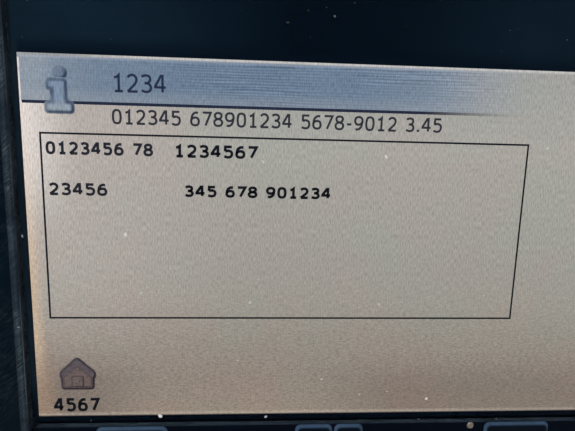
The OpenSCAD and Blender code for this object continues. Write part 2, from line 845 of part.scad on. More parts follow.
// Stud for the ground lead, with its nut and washer
module ground_stud() {
    color("silver") on_display() on_back(stud_x, frame_low + body_inset + stud_up) {
        cylinder(r = stud_washer_r, h = stud_washer_t);
        translate([0, 0, stud_washer_t - slice])
            cylinder(d = stud_nut_af / cos(30), h = stud_nut_t, $fn = 6);
        cylinder(r = stud_r, h = stud_l);
    }
}

// Socket of the service port: a shell with a tongue in it
module service_socket() {
    room = [usb_l, usb_w - 2 * usb_wall, usb_h - 2 * usb_wall];
    tongue = [usb_l - usb_tongue_back, usb_w - 2 * usb_tongue_in, usb_tongue_t];
    color("silver") on_display() translate([side_x - door_t - port_d - usb_l, port_y, port_z])
        difference() {
            translate([0, -usb_w / 2, -usb_h / 2]) cube([usb_l, usb_w, usb_h]);
            difference() {
                translate([usb_floor, -room[1] / 2, -room[2] / 2]) cube(room);
                translate([0, -tongue[1] / 2, 0.1]) cube(tongue);
            }
        }
}

// Hinge pin of the service door
module door_pin() {
    color("silver") on_display() translate([hinge_x, hinge_y, port_z])
        cylinder(r = door_pin_r, h = door_w + 1, center = true);
}

// Door of the service port, with its barrel and a rib to open it by
module port_door() {
    neck = 2.6;
    set_back = 0.6;
    rib = [1.4, 1.6, 8];
    color("black") on_display() difference() {
        union() {
            translate([side_x - door_t, port_y - door_h / 2, port_z - door_w / 2])
                cube([door_t, door_h, door_w]);
            translate([hinge_x, hinge_y, port_z]) linear_extrude(barrel_l, center = true) {
                circle(barrel_r);
                translate([side_x - door_t - hinge_x + set_back, -barrel_r - neck])
                    square([door_t - set_back, barrel_r + neck]);
            }
            translate([side_x - slice, port_y - door_h / 2 + 1.5, port_z - rib[2] / 2]) cube(rib);
        }
        translate([hinge_x, hinge_y, port_z])
            cylinder(r = door_pin_r + run, h = door_w + 2 * past, center = true);
    }
}

// Rubber plug on the inside of the door
module door_gasket() {
    plug_h = port_h() - 2 * gasket_gap;
    plug_w = port_w() - 2 * gasket_gap;
    color("gray") on_display()
        translate([side_x - door_t - gasket_t, port_y - plug_h / 2, port_z - plug_w / 2])
            cube([gasket_t, plug_h, plug_w]);
}

base_flange();
swivel_arm();
friction_discs();
tilt_bolt();
tilt_washers();
tilt_knob();
clamp_screw();
clamp_knob();
tilt_bracket();
rear_housing();
housing_seal();
front_bezel();
cover_glass();
screen_module();
key_mat();
for (k = KEYS) key_cap(k[1], k[2], k[3]);
status_lamp();
housing_screws();
plate_screws();
main_header();
header_contacts();
round_socket(0);  // socket_left
round_socket(1);  // socket_middle
round_socket(2);  // socket_right
socket_contacts();
dust_cap();
vent_plug();
ground_stud();
service_socket();
door_pin();
port_door();
door_gasket();
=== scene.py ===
"""Looks of an in-cab machine display on its swivel and tilt bracket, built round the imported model."""
import math

import bmesh
import bpy
import numpy as np
from bpy.props import FloatProperty, FloatVectorProperty, IntProperty, PointerProperty
from mathutils import Matrix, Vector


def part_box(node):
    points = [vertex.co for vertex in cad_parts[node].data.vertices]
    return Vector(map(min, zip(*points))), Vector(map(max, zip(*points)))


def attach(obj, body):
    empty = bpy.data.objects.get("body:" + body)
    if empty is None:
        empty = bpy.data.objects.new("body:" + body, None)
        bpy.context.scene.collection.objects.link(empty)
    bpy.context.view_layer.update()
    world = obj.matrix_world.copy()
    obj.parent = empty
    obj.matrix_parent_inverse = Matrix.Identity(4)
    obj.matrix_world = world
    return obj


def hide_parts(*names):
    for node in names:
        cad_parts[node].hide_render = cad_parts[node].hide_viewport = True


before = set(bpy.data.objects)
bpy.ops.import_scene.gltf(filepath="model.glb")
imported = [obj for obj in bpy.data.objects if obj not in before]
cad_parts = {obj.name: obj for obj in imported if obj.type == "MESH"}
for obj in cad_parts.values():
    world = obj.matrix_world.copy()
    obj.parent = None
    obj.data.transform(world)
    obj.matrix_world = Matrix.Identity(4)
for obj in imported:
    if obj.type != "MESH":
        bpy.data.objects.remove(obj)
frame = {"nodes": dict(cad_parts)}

bl_info = {
    "name": "Cab display on a tilt bracket",
    "version": (1, 0, 0),
    "blender": (4, 5, 0),
    "location": "3D View > Sidebar > Cab display",
    "description": "Finishes an in-cab machine display: its lit page, glass, keys, housing and bracket",
    "category": "Object",
}

MM = 0.001


def corners(node):
    """Lowest and highest corner of a CAD node at rest, in millimetres."""
    low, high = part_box(node)
    return np.array(low) / MM, np.array(high) / MM


# Places in millimetres, most of them read from the frame. The display's face is the plane y = FACE_Y:
# the glass lies GLASS_SINK behind it and the lip rises LIP_RISE before it. Thin sheets lie LAYER apart,
# and the line under the page's header reaches RULE_UP above the header's end and RULE_DOWN below it.
GLASS_SINK = 0.3
GLASS_LOW, GLASS_HIGH = corners("cover_glass")
MAT_LOW, MAT_HIGH = corners("key_mat")
BEZEL_LOW, BEZEL_HIGH = corners("front_bezel")
CELL_LOW, CELL_HIGH = corners("screen_module")
FACE_Y = GLASS_LOW[1] - GLASS_SINK
GLASS_BACK = FACE_Y - GLASS_HIGH[1]
PAGE_Z = (CELL_LOW[2] + CELL_HIGH[2]) / 2
LAYER = 0.02
LIP_RISE = 0.6
RULE_UP, RULE_DOWN = 0.32, 0.38


def tone(red, green, blue):
    """Linear colour of a screen colour given from 0 to 255."""
    shares = (c / 255 for c in (red, green, blue))
    return tuple(s / 12.92 if s <= 0.04045 else ((s + 0.055) / 1.055) ** 2.4 for s in shares)


def colour_property(name, description, default):
    """A colour that the user can change."""
    return FloatVectorProperty(
        name=name, description=description, subtype="COLOR", size=3, min=0, max=1, default=default
    )


def number_property(name, description, default, least=0.0, unit="NONE"):
    """A number that the user can change."""
    return FloatProperty(name=name, description=description, default=default, min=least, unit=unit)


class CABDISPLAY_PG_page(bpy.types.PropertyGroup):
    """Sizes and colours of the lit page, in millimetres from its upper left corner."""

    width: number_property("Width", "Width of the lit page in mm", 152.4)
    height: number_property("Height", "Height of the lit page in mm", 91.44)
    header: number_property("Header", "Height of the header band in mm", 11.0)
    box_left: number_property("Box left", "Left side of the framed box in mm", 4.25)
    box_right: number_property("Box right", "Right side of the framed box in mm", 124.0)
    box_top: number_property("Box top", "Upper side of the framed box in mm", 18.23)
    box_bottom: number_property("Box bottom", "Lower side of the framed box in mm", 64.33)
    line: number_property("Line", "Thickness of the box's line in mm", 0.46)
    ink: colour_property("Ink", "Colour of the page's lettering", tone(33, 33, 39))
    band: colour_property("Band", "Colour of the header band", tone(102, 121, 143))
    rule: colour_property("Rule", "Colour of the line under the header", tone(30, 35, 54))


class CABDISPLAY_PG_finish(bpy.types.PropertyGroup):
    """Colours of the materials."""

    frame: colour_property("Front frame", "Glossy moulded front frame", (0.0010, 0.0026, 0.0046))
    print: colour_property("Glass print", "Dark print behind the glass", (0.0004, 0.0009, 0.0024))
    mat: colour_property("Key mat", "Rubber mat under the keys", (0.0012, 0.0024, 0.006))
    key: colour_property("Keys", "Moulded key caps", (0.0013, 0.0034, 0.0080))
    housing: colour_property("Housing", "Powder coat of the rear housing", (0.045, 0.048, 0.052))
    casting: colour_property("Bracket", "Powder coat of the bracket", (0.038, 0.040, 0.043))
    moulding: colour_property("Mouldings", "Knobs and connectors", (0.012, 0.012, 0.013))
    rubber: colour_property("Rubber", "Seal, gasket and cap", (0.014, 0.014, 0.015))
    steel: colour_property("Steel", "Zinc plated steel", (0.56, 0.55, 0.51))
    nickel: colour_property("Nickel", "Nickel plated sockets", (0.60, 0.58, 0.53))
    gold: colour_property("Contacts", "Gold plated contacts", (0.83, 0.60, 0.24))


class CABDISPLAY_PG_stage(bpy.types.PropertyGroup):
    """Camera, lamps and floor."""

    focal: number_property("Lens", "Focal length in mm", 32.356, 10)
    level: number_property("Room light", "Strength of the room's light", 0.5)
    key_power: number_property("Key lamp", "Power of the large lamp", 4.2, unit="POWER")
    fill_power: number_property("Fill lamp", "Power of the fill lamp", 1.6, unit="POWER")
    floor: number_property("Floor", "Half the width of the floor", 2.5, unit="LENGTH")
    specks: IntProperty(name="Dust", description="Number of dust specks on the glass", default=150, min=0)


# Points and surfaces


def unit(way):
    """Vectors brought to length one."""
    return way / np.linalg.norm(way, axis=-1, keepdims=True)


def from_face(x, y, z):
    """World points in metres of x to the right, y up from the page's middle and z out of the face, in mm."""
    x, y, z = np.broadcast_arrays(x, y, z)
    return np.stack([x, FACE_Y - z, PAGE_Z + y], -1) * MM


def on_page(u, v, layer=1):
    """World points of the page: u right and v down from its upper left corner, on a numbered layer."""
    page = bpy.context.scene.cab_page
    depth = GLASS_BACK + LAYER * layer
    return from_face(np.asarray(u) - page.width / 2, page.height / 2 - np.asarray(v), depth)


def rounded_rings(half_w, half_h, radius, centre_y, z, steps=10):
    """Rounded rectangles, one a row: each corner is an arc, centre plus radius times (cos a, sin a).

    The arguments hold one number a row, and steps is the number of points of a quarter arc, less one."""
    a = np.radians(np.concatenate([np.linspace(90 * k, 90 * k + 90, steps + 1) for k in range(4)]))
    side_x = np.repeat([1, -1, -1, 1], steps + 1)
    side_y = np.repeat([1, 1, -1, -1], steps + 1)
    w, h, r, c, z = (np.asarray(value, float)[:, None] for value in (half_w, half_h, radius, centre_y, z))
    r = np.minimum(np.maximum(r, 1e-4), np.minimum(w, h))
    return from_face(side_x * (w - r) + r * np.cos(a), c + side_y * (h - r) + r * np.sin(a), z)


def spun(origin, axis, radius, height):
    """A turned surface: each row holds radii and heights over a full turn about the axis through origin.

    A point is origin + height along the axis + radius times (cos t, sin t) across it, in mm."""
    radius, height = np.broadcast_arrays(radius, height)
    t = np.linspace(0, 2 * np.pi, radius.shape[1], endpoint=False)
    along = np.array(axis, float)
    across = np.array([0, 0, 1.0]) if abs(along[2]) < 0.5 else np.array([1.0, 0, 0])
    third = np.cross(along, across)
    points = height[..., None] * along + (radius * np.cos(t))[..., None] * across
    return (np.array(origin) + points + (radius * np.sin(t))[..., None] * third) * MM


def grid_faces(rows, columns, close_rows, close_columns):
    """Quads of a grid of points: row r and column c join with the next row and the next column."""
    r = np.arange(rows if close_rows else rows - 1)[:, None]
    c = np.arange(columns if close_columns else columns - 1)[None, :]
    below, beside = (r + 1) % rows, (c + 1) % columns
    here, under = r * columns, below * columns
    return np.stack([here + c, here + beside, under + beside, under + c], -1).reshape(-1, 4)


def mesh_from(name, points, faces):
    """A mesh of the given points and faces."""
    mesh = bpy.data.meshes.new(name)
    mesh.from_pydata(np.asarray(points).reshape(-1, 3).tolist(), [], [list(map(int, f)) for f in faces])
    return mesh


def keep_at_points(mesh, name, values):
    """Keeps one number at each of a mesh's points, for its finish to read."""
    mesh.attributes.new(name, "FLOAT", "POINT").data.foreach_set("value", np.asarray(values, np.float32))


def tidy(mesh, sharp):
    """Merges the points that meet at poles and seams, turns the faces outwards and smooths gentle edges."""
    touching = 2e-7
    shape = bmesh.new()
    shape.from_mesh(mesh)
    bmesh.ops.remove_doubles(shape, verts=shape.verts, dist=touching)
    bmesh.ops.dissolve_degenerate(shape, edges=shape.edges, dist=touching)
    bmesh.ops.recalc_face_normals(shape, faces=shape.faces)
    shape.to_mesh(mesh)
    shape.free()
    mesh.shade_smooth()
    mesh.set_sharp_from_angle(angle=math.radians(sharp))
    return mesh


def piece(name, mesh, finish, body, replaced=()):
    """Adds a finished mesh to the scene: it rides on a body and may stand for CAD nodes."""
    obj = bpy.data.objects.new(name, mesh)
    bpy.context.scene.collection.objects.link(obj)
    mesh.materials.clear()
    mesh.materials.append(finish)
    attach(obj, body)
    if replaced:
        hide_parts(*replaced)
    return obj


def ringed_piece(name, points, finish, body, node, kept=None, close_rows=False, sharp=35):
    """A closed form of rows of points, each a ring, in place of a CAD node.

    close_rows joins the last ring to the first one, and kept holds a number a ring for the finish."""
    rows, columns = points.shape[:2]
    mesh = mesh_from(name, points, grid_faces(rows, columns, close_rows, True))
    for key, values in (kept or {}).items():
        keep_at_points(mesh, key, np.repeat(values, columns))
    return piece(name, tidy(mesh, sharp), finish, body, [node])


def flat_piece(name, points, faces, finish):
    """A flat shape on the display that faces the viewer."""
    mesh = mesh_from(name, points, faces)
    shape = bmesh.new()
    shape.from_mesh(mesh)
    shape.normal_update()
    turned = [f for f in shape.faces if f.normal.y > 0]
    bmesh.ops.reverse_faces(shape, faces=turned)
    shape.to_mesh(mesh)
    shape.free()
    return piece(name, mesh, finish, "display")


def dress(nodes, finish):
    """Gives CAD nodes a finish in place of their plain one."""
    for node in nodes:
        obj = frame["nodes"][node]
        obj.data.materials.clear()
        obj.data.materials.append(finish)


def page_sheet(name, outline, finish, layer, hole=None):
    """A flat shape on the page, from an outline of (u, v) points; a hole has as many points."""
    outline = np.asarray(outline, float)
    count = len(outline)
    if hole is None:
        return flat_piece(name, on_page(*outline.T, layer), [range(count)], finish)
    points = on_page(*np.concatenate([outline, hole]).T, layer)
    i = np.arange(count)
    faces = np.stack([i, (i + 1) % count, (i + 1) % count + count, i + count], -1)
    return flat_piece(name, points, faces, finish)


def box_outline(u0, v0, u1, v1):
    """The four corners of a box on the page."""
    return [(u0, v0), (u1, v0), (u1, v1), (u0, v1)]


def oval(u, v, half_w, half_h, count):
    """Points round a middle at (half_w cos a, half_h sin a)."""
    a = np.arange(count) * 2 * np.pi / count
    return np.stack([u + half_w * np.cos(a), v + half_h * np.sin(a)], -1)


def grown(outline, distance):
    """An outline moved outwards: each corner goes along its two edges' outer normals, as a mitre."""
    p = np.asarray(outline, float)
    ahead = np.roll(p, -1, 0)
    area = np.sum(p[:, 0] * ahead[:, 1] - p[:, 1] * ahead[:, 0])
    edges = (p - np.roll(p, 1, 0), ahead - p)
    total = sum(unit(np.stack([e[:, 1], -e[:, 0]], -1)) for e in edges) * np.sign(area)
    return p + distance * 2 * total / np.sum(total * total, axis=1, keepdims=True)


def softened(outline, radius):
    """An outline whose corners P become curves (1-t)^2 A + 2t(1-t) P + t^2 B, with A and B within radius."""
    p = np.asarray(outline, float)
    steps, most = 5, 0.45
    ends = []
    for way in (np.roll(p, 1, 0) - p, np.roll(p, -1, 0) - p):
        reach = np.minimum(radius, np.linalg.norm(way, axis=1, keepdims=True) * most)
        ends.append((p + unit(way) * reach)[:, None])
    t = np.linspace(0, 1, steps + 1)[None, :, None]
    curve = (1 - t) ** 2 * ends[0] + 2 * t * (1 - t) * p[:, None] + t * t * ends[1]
    return curve.reshape(-1, 2)


# Strokes of the screen's digits: the kind of line, then its points, across and up in hundredths
STROKES = {
    "0": ["loop 50 100 80 90 90 50 80 10 50 0 20 10 10 50 20 90"],
    "1": ["line 16 82 40 87 55 97 55 0", "line 20 0 90 0"],
    "2": ["curve 10 86 36 99 66 98 86 80 80 54 48 27 10 0", "line 10 0 95 0"],
    "3": ["curve 10 92 42 100 76 94 83 73 66 56 36 53",
          "curve 36 53 70 50 90 30 80 7 46 0 8 8"],
    "4": ["line 70 0 70 100 56 100 7 36 7 30 98 30"],
    "5": ["line 88 100 20 100 18 56", "curve 18 56 50 63 82 53 90 30 76 6 42 0 8 8"],
    "6": ["curve 84 97 52 97 22 76 10 34",
          "loop 52 60 80 53 91 30 80 7 50 0 20 8 10 32 22 52"],
    "7": ["line 8 100 94 100 38 0"],
    "8": ["loop 50 100 78 93 85 76 72 59 50 53 28 59 15 76 22 93",
          "loop 50 53 82 43 92 26 80 6 50 0 20 6 8 26 18 43"],
    "9": ["curve 16 3 48 3 78 24 90 66",
          "loop 48 40 20 47 9 70 20 93 50 100 80 92 90 68 78 48"],
    "-": ["line 12 40 88 40"],
    "+": ["line 0 50 100 50", "line 50 0 50 100"],
    ".": ["line 14 4 86 4"],
    " ": [],
}
# Width of a narrow sign against a digit's
ADVANCE = {"-": 0.72, ".": 0.5, " ": 0.62}


def through(p, closed):
    """A smooth curve through points: on each span, the cubic spline of the four points round it."""
    steps = 6
    if closed:
        p = np.concatenate([p[-1:], p, p[:2]])
    else:
        p = np.concatenate([2 * p[:1] - p[1:2], p, 2 * p[-1:] - p[-2:-1]])
    a, b, c, d = p[:-3, None], p[1:-2, None], p[2:-1, None], p[3:, None]
    t = np.arange(steps)[None, :, None] / steps
    bend, twist = 2 * a - 5 * b + 4 * c - d, 3 * b - a - 3 * c + d
    curve = (2 * b + (c - a) * t + bend * t * t + twist * t ** 3) / 2
    curve = curve.reshape(-1, 2)
    return curve if closed else np.concatenate([curve, p[-2:-1]])


def ribbon(line, closed, half):
    """Both sides of a line, half to each side along its mitred normal, and the quads between them."""
    n = len(line)
    ahead, behind = np.roll(line, -1, 0) - line, line - np.roll(line, 1, 0)
    if not closed:
        ahead[-1], behind[0] = behind[-1], ahead[0]
    total = sum(unit(np.stack([-e[:, 1], e[:, 0]], -1)) for e in (ahead, behind))
    side = total * half * 2 / np.maximum(np.sum(total * total, axis=1, keepdims=True), 0.5)
    i = np.arange(n if closed else n - 1)
    faces = np.stack([i, (i + 1) % n, (i + 1) % n + n, i + n], -1)
    return np.concatenate([line + side, line - side]), faces


def digits(name, text, place, stroke, finish, put):
    """Digits drawn as ribbons within place = (left, base, right, top); put takes them to the world."""
    left, base, right, top = place
    widths = np.array([ADVANCE.get(c, 1.0) for c in text])
    starts = np.concatenate([[0], np.cumsum(widths)])
    one_wide = (right - left) / starts[-1]
    edge = stroke / 2 * np.sign(top - base)
    points, faces, count = [], [], 0
    for char, start, width in zip(text, starts, widths):
        for drawn in STROKES[char]:
            kind, *numbers = drawn.split()
            path = np.array(numbers, float).reshape(-1, 2) / 100
            line = path if kind == "line" else through(path, kind == "loop")
            x = left + start * one_wide + stroke / 2 + line[:, 0] * (one_wide * width - stroke)
            y = base + edge + line[:, 1] * (top - base - 2 * edge)
            sides, quads = ribbon(np.stack([x, y], -1), kind == "loop", stroke / 2)
            points.append(sides)
            faces.append(quads + count)
            count += len(sides)
    return flat_piece(name, put(*np.concatenate(points).T), np.concatenate(faces), finish)


# Finishes


class Finish:
    """Short calls that build one material's nodes round its Principled shader."""

    def __init__(self, name):
        self.material = bpy.data.materials.new(name)
        self.material.use_nodes = True
        self.tree = self.material.node_tree
        self.shader = self.tree.nodes["Principled BSDF"]
        own = self.add("ShaderNodeTexCoord").outputs
        self.place, self.normal = own["Object"], own["Normal"]

    def add(self, kind, sockets=None, **values):
        """A node with its settings and its sockets, which take a value or another node's output."""
        node = self.tree.nodes.new(kind)
        for key, value in values.items():
            setattr(node, key, value)
        for key, value in (sockets or {}).items():
            self.feed(node.inputs[key], value)
        return node

    def feed(self, socket, value):
        """Links a socket to another node's output or sets it; a colour's three numbers get a fourth."""
        if isinstance(value, bpy.types.NodeSocket):
            self.tree.links.new(value, socket)
        elif socket.type == "RGBA" and len(value) == 3:
            socket.default_value = (*value, 1)
        else:
            socket.default_value = value

    def set(self, **sockets):
        """Sets or links the shader's own sockets and hands back the material; _ stands for a space."""
        for key, value in sockets.items():
            self.feed(self.shader.inputs[key.replace("_", " ")], value)
        return self.material

    def math(self, operation, *values):
        """One step of arithmetic."""
        return self.add("ShaderNodeMath", dict(enumerate(values)), operation=operation).outputs[0]

    def product(self, first, *others):
        """Numbers multiplied together."""
        for other in others:
            first = self.math("MULTIPLY", first, other)
        return first

    def mix(self, share, a, b, blend="MIX"):
        """Two colours mixed by a share."""
        node = self.add("ShaderNodeMix", {0: share, 6: a, 7: b}, data_type="RGBA", blend_type=blend)
        return node.outputs[2]

    def moved(self, stretch=(1, 1, 1), turn=0.0):
        """The object's own coordinates, turned about Y by degrees and stretched along the turned axes."""
        sockets = {0: self.place, 2: (0, math.radians(turn), 0), 3: stretch}
        return self.add("ShaderNodeMapping", sockets, vector_type="TEXTURE").outputs[0]

    def noise(self, size, detail=2.0, rough=0.5, place=None, output=0):
        """Noise whose blotches are about size millimetres across; output 1 is its coloured form."""
        sockets = {"Vector": place or self.place, "Scale": 1 / (size * MM)}
        sockets.update(Detail=detail, Roughness=rough)
        return self.add("ShaderNodeTexNoise", sockets).outputs[output]

    def varied(self, low, high, *noise):
        """A number that wanders from low to high with a noise, which mostly lies between 0.3 and 0.7."""
        return self.between(self.noise(*noise), 0.3, 0.7, low, high)

    def cloudy(self, colour, low, high, *noise):
        """A colour that a noise makes darker and lighter, from low to high times itself."""
        return self.mix(self.noise(*noise), shade(colour, low), shade(colour, high))

    def times(self, colour, factor):
        """A colour made lighter or darker by a factor."""
        return self.add("ShaderNodeVectorMath", {0: colour, "Scale": factor}, operation="SCALE").outputs[0]

    def attribute(self, name):
        """A number that the mesh keeps at each point."""
        return self.add("ShaderNodeAttribute", attribute_name=name).outputs["Fac"]

    def ramp(self, value, stops):
        """Colours along a value: each stop is (position, colour or grey)."""
        node = self.add("ShaderNodeValToRGB", {0: value})
        elements = node.color_ramp.elements
        while len(elements) < len(stops):
            elements.new(0.5)
        for element, (position, colour) in zip(elements, stops):
            element.position = position
            element.color = (*colour, 1) if isinstance(colour, tuple) else (colour, colour, colour, 1)
        return node.outputs[0]

    def between(self, value, low, high, to_low=0.0, to_high=1.0):
        """A smooth step from to_low to to_high while a value goes from low to high."""
        sockets = {0: value, 1: low, 2: high, 3: to_low, 4: to_high}
        return self.add("ShaderNodeMapRange", sockets, interpolation_type="SMOOTHSTEP").outputs[0]

    def soft_edges(self, radius):
        """The normal with edges rounded by radius millimetres, and how worn each edge is."""
        rounded = self.add("ShaderNodeBevel", {0: radius * MM}, samples=6).outputs[0]
        plain = self.add("ShaderNodeNewGeometry").outputs["Normal"]
        like = self.add("ShaderNodeVectorMath", {0: rounded, 1: plain}, operation="DOT_PRODUCT")
        return rounded, self.between(like.outputs["Value"], 0.995, 0.80)

    def bumps(self, height, depth, strength, normal=None):
        """Relief of a height, depth millimetres deep, on top of a normal; hands back the material."""
        sockets = {"Height": height, "Distance": depth * MM, "Strength": strength}
        if normal is not None:
            sockets["Normal"] = normal
        return self.set(Normal=self.add("ShaderNodeBump", sockets).outputs[0])

    def dusted(self, colour, dust, patches):
        """A colour with patches of dust on what looks upwards while the object is at rest."""
        up = self.add("ShaderNodeSeparateXYZ", {0: self.normal}).outputs[2]
        return self.mix(self.product(self.between(up, 0.55, 0.98), patches), colour, dust)

    def facing_front(self):
        """How much a surface looks to the front, along -Y."""
        back = self.add("ShaderNodeSeparateXYZ", {0: self.normal}).outputs[1]
        return self.between(back, -0.5, -0.95)


def shade(colour, share):
    """A colour made lighter or darker."""
    return tuple(min(1.0, c * share) for c in colour)


def powder_coat(name, colour, wear, edge):
    """Textured coat on a casting: cloudy tint, fine grain, rubbed edges and dust on what looks up."""
    f = Finish(name)
    coat = f.cloudy(colour, 0.72, 1.35, 14, 4, 0.6)
    speck = f.between(f.noise(0.9, 2), 0.62, 0.74)
    coat = f.mix(f.product(speck, 0.35), coat, shade(colour, 2.3))
    rounded, worn = f.soft_edges(edge)
    wear_and_sheen = f.product(worn, f.between(f.noise(5, 4, 0.7), 0.42, 0.68))
    coat = f.mix(f.product(wear_and_sheen, wear), coat, (0.30, 0.30, 0.29))
    dust = f.between(f.noise(9, 6, 0.65), 0.40, 0.75, 0.08, 0.42)
    coat = f.dusted(coat, (0.22, 0.20, 0.165), dust)
    f.set(Base_Color=coat, Specular_IOR_Level=0.4, Roughness=f.varied(0.46, 0.62, 3, 3))
    grain = f.math("ADD", f.noise(0.55, 2, 0.6), f.product(f.noise(1.6, 1), 0.8))
    return f.bumps(grain, 0.07, 0.55, rounded)


def plated(name, colour, rough, edge=0.25):
    """Plated metal: fine brush marks, faint stains and soft edges."""
    f = Finish(name)
    metal = f.cloudy(colour, 0.78, 1.12, 3.5, 5, 0.6)
    rounded, worn = f.soft_edges(edge)
    metal = f.mix(f.product(worn, 0.35), metal, shade(colour, 1.4))
    f.set(Base_Color=metal, Metallic=1.0)
    f.set(Roughness=f.varied(rough * 0.75, rough * 1.5, 1.2, 4, 0.7))
    return f.bumps(f.noise(0.35, 2), 0.01, 0.5, rounded)


def moulded(name, colour, rough, edge=0.4):
    """Moulded plastic with an eroded grain, rubbed where hands touch it."""
    f = Finish(name)
    body = f.cloudy(colour, 0.75, 1.3, 8, 4, 0.6)
    rounded, worn = f.soft_edges(edge)
    wear_and_sheen = f.product(worn, f.between(f.noise(4, 3), 0.35, 0.7, 0.1, 0.6))
    body = f.mix(wear_and_sheen, body, shade(colour, 3.2))
    dust = f.between(f.noise(5, 5, 0.7), 0.45, 0.8, 0.04, 0.3)
    body = f.dusted(body, (0.20, 0.18, 0.15), dust)
    f.set(Base_Color=body, Specular_IOR_Level=0.4)
    f.set(Roughness=f.varied(rough * 0.85, rough * 1.2, 2.5, 3))
    return f.bumps(f.noise(0.28, 2, 0.6), 0.03, 0.6, rounded)


def rubbery(name, colour):
    """Dull rubber with a faint bloom."""
    f = Finish(name)
    body = f.cloudy(colour, 0.8, 1.7, 6, 5, 0.65)
    f.set(Base_Color=body, Specular_IOR_Level=0.25, Roughness=f.varied(0.62, 0.8, 2, 3))
    return f.bumps(f.noise(0.4, 3), 0.03, 0.5)


def mat_rubber(name, colour):
    """Black silicone with a thin paler bluish highlight painted along its top, where it meets the glass."""
    f = Finish(name)
    height = f.add("ShaderNodeSeparateXYZ", {0: f.place}).outputs[2]
    # Painted highlight: a thin paler line along the top of the mat
    top_highlight = f.between(height, (MAT_HIGH[2] - 0.5) * MM, (MAT_HIGH[2] - 0.2) * MM)
    top_highlight = f.product(top_highlight, f.varied(0.35, 1.0, 2.5, 4, 0.7, f.moved((2.5, 1, 1))))
    body = f.cloudy(colour, 0.7, 1.6, 6, 5, 0.65)
    f.set(Base_Color=f.mix(top_highlight, body, (0.030, 0.043, 0.058)), Specular_IOR_Level=0.04)
    f.set(Specular_Tint=(0.4, 0.7, 1.0), Roughness=f.varied(0.5, 0.7, 2, 3))
    return f.bumps(f.noise(0.4, 3), 0.02, 0.5)


def hairlines(f, size, length, turn):
    """Thin scratches: the places where noise drawn out along one direction is near its middle value."""
    drawn = f.noise(size, 1, 0.5, f.moved((1, 1, length), turn))
    return f.between(f.math("ABSOLUTE", f.math("SUBTRACT", drawn, 0.5)), 0.030, 0.006)


def glossy_frame(name, colour):
    """Polished dark moulding with slanted hairline scratches, denser at the lower left; a paler bluish sheen
    is painted on its lip, and glints are painted along the lip's inner edge.
    """
    f = Finish(name)
    hair = hairlines(f, 0.5, 16, 46)
    fine = hairlines(f, 0.4, 14, 53)
    patch = f.between(f.noise(16, 2), 0.36, 0.56)
    u, v = page_place(f)
    # The lower left corner, where the scratches are denser and the lip's edge carries painted glints
    lower_left = f.product(f.between(v, 64, 74), f.between(v, 91, 82), f.between(u, 4, 0))
    patch = f.math("MAXIMUM", patch, f.product(lower_left, 0.8))
    patch = f.product(patch, f.math("MULTIPLY_ADD", f.facing_front(), 0.8, 0.2))
    scratches = f.product(f.math("MAXIMUM", hair, f.product(fine, 0.8)), patch)
    rounded, worn = f.soft_edges(0.3)
    body = f.cloudy(colour, 0.7, 1.5, 9, 3)
    # Painted sheen: the lip is made paler and bluish as far as its rings say, mottled along its length; the
    # scratches show more there
    lip_sheen = f.attribute("wear_and_sheen")
    mottled = f.varied(0.55, 1.25, 0.7, 3, 0.7, f.moved((1, 1, 7), 46))
    mottled = f.product(mottled, f.varied(0.6, 1.2, 9, 5, 0.7))
    body = f.mix(f.product(lip_sheen, mottled), body, (0.030, 0.040, 0.052))
    shown = f.math("MULTIPLY_ADD", lip_sheen, 0.7, 0.11)
    body = f.mix(f.product(scratches, shown), body, (0.098, 0.130, 0.150))
    # Painted highlight: streaky glints along the lip's inner edge, in brighter patches at the lower left
    glint_streak = f.between(f.noise(3, 4, 0.7, f.moved((1, 1, 6))), 0.38, 0.60, 0.0, 0.4)
    glint_patches = f.product(lower_left, f.between(f.noise(1.0, 3, 0.7, f.moved((1, 1, 2.5))), 0.35, 0.6, 0.5, 0.9))
    edge = f.product(f.attribute("edge_glint"), f.math("MAXIMUM", glint_streak, glint_patches))
    body = f.mix(edge, body, (0.115, 0.145, 0.175))
    body = f.mix(f.product(worn, 0.12), body, (0.035, 0.045, 0.052))
    body = f.dusted(body, (0.16, 0.15, 0.13), f.between(f.noise(4, 5, 0.7), 0.4, 0.8, 0.03, 0.25))
    f.set(Base_Color=body, Specular_IOR_Level=0.12, Specular_Tint=(0.15, 0.5, 0.9))
    f.set(Roughness=f.varied(0.16, 0.30, 5, 4))
    relief = f.math("SUBTRACT", f.product(f.noise(1.2, 2), 0.3), scratches)
    return f.bumps(relief, 0.006, 0.5, rounded)


def page_place(f):
    """Where a point lies on the page: to the right and down from its upper left corner, in millimetres."""
    page = bpy.context.scene.cab_page
    split = f.add("ShaderNodeSeparateXYZ", {0: f.place})
    u = f.math("MULTIPLY_ADD", split.outputs[0], 1 / MM, page.width / 2)
    v = f.math("MULTIPLY_ADD", split.outputs[2], -1 / MM, PAGE_Z + page.height / 2)
    return u, v


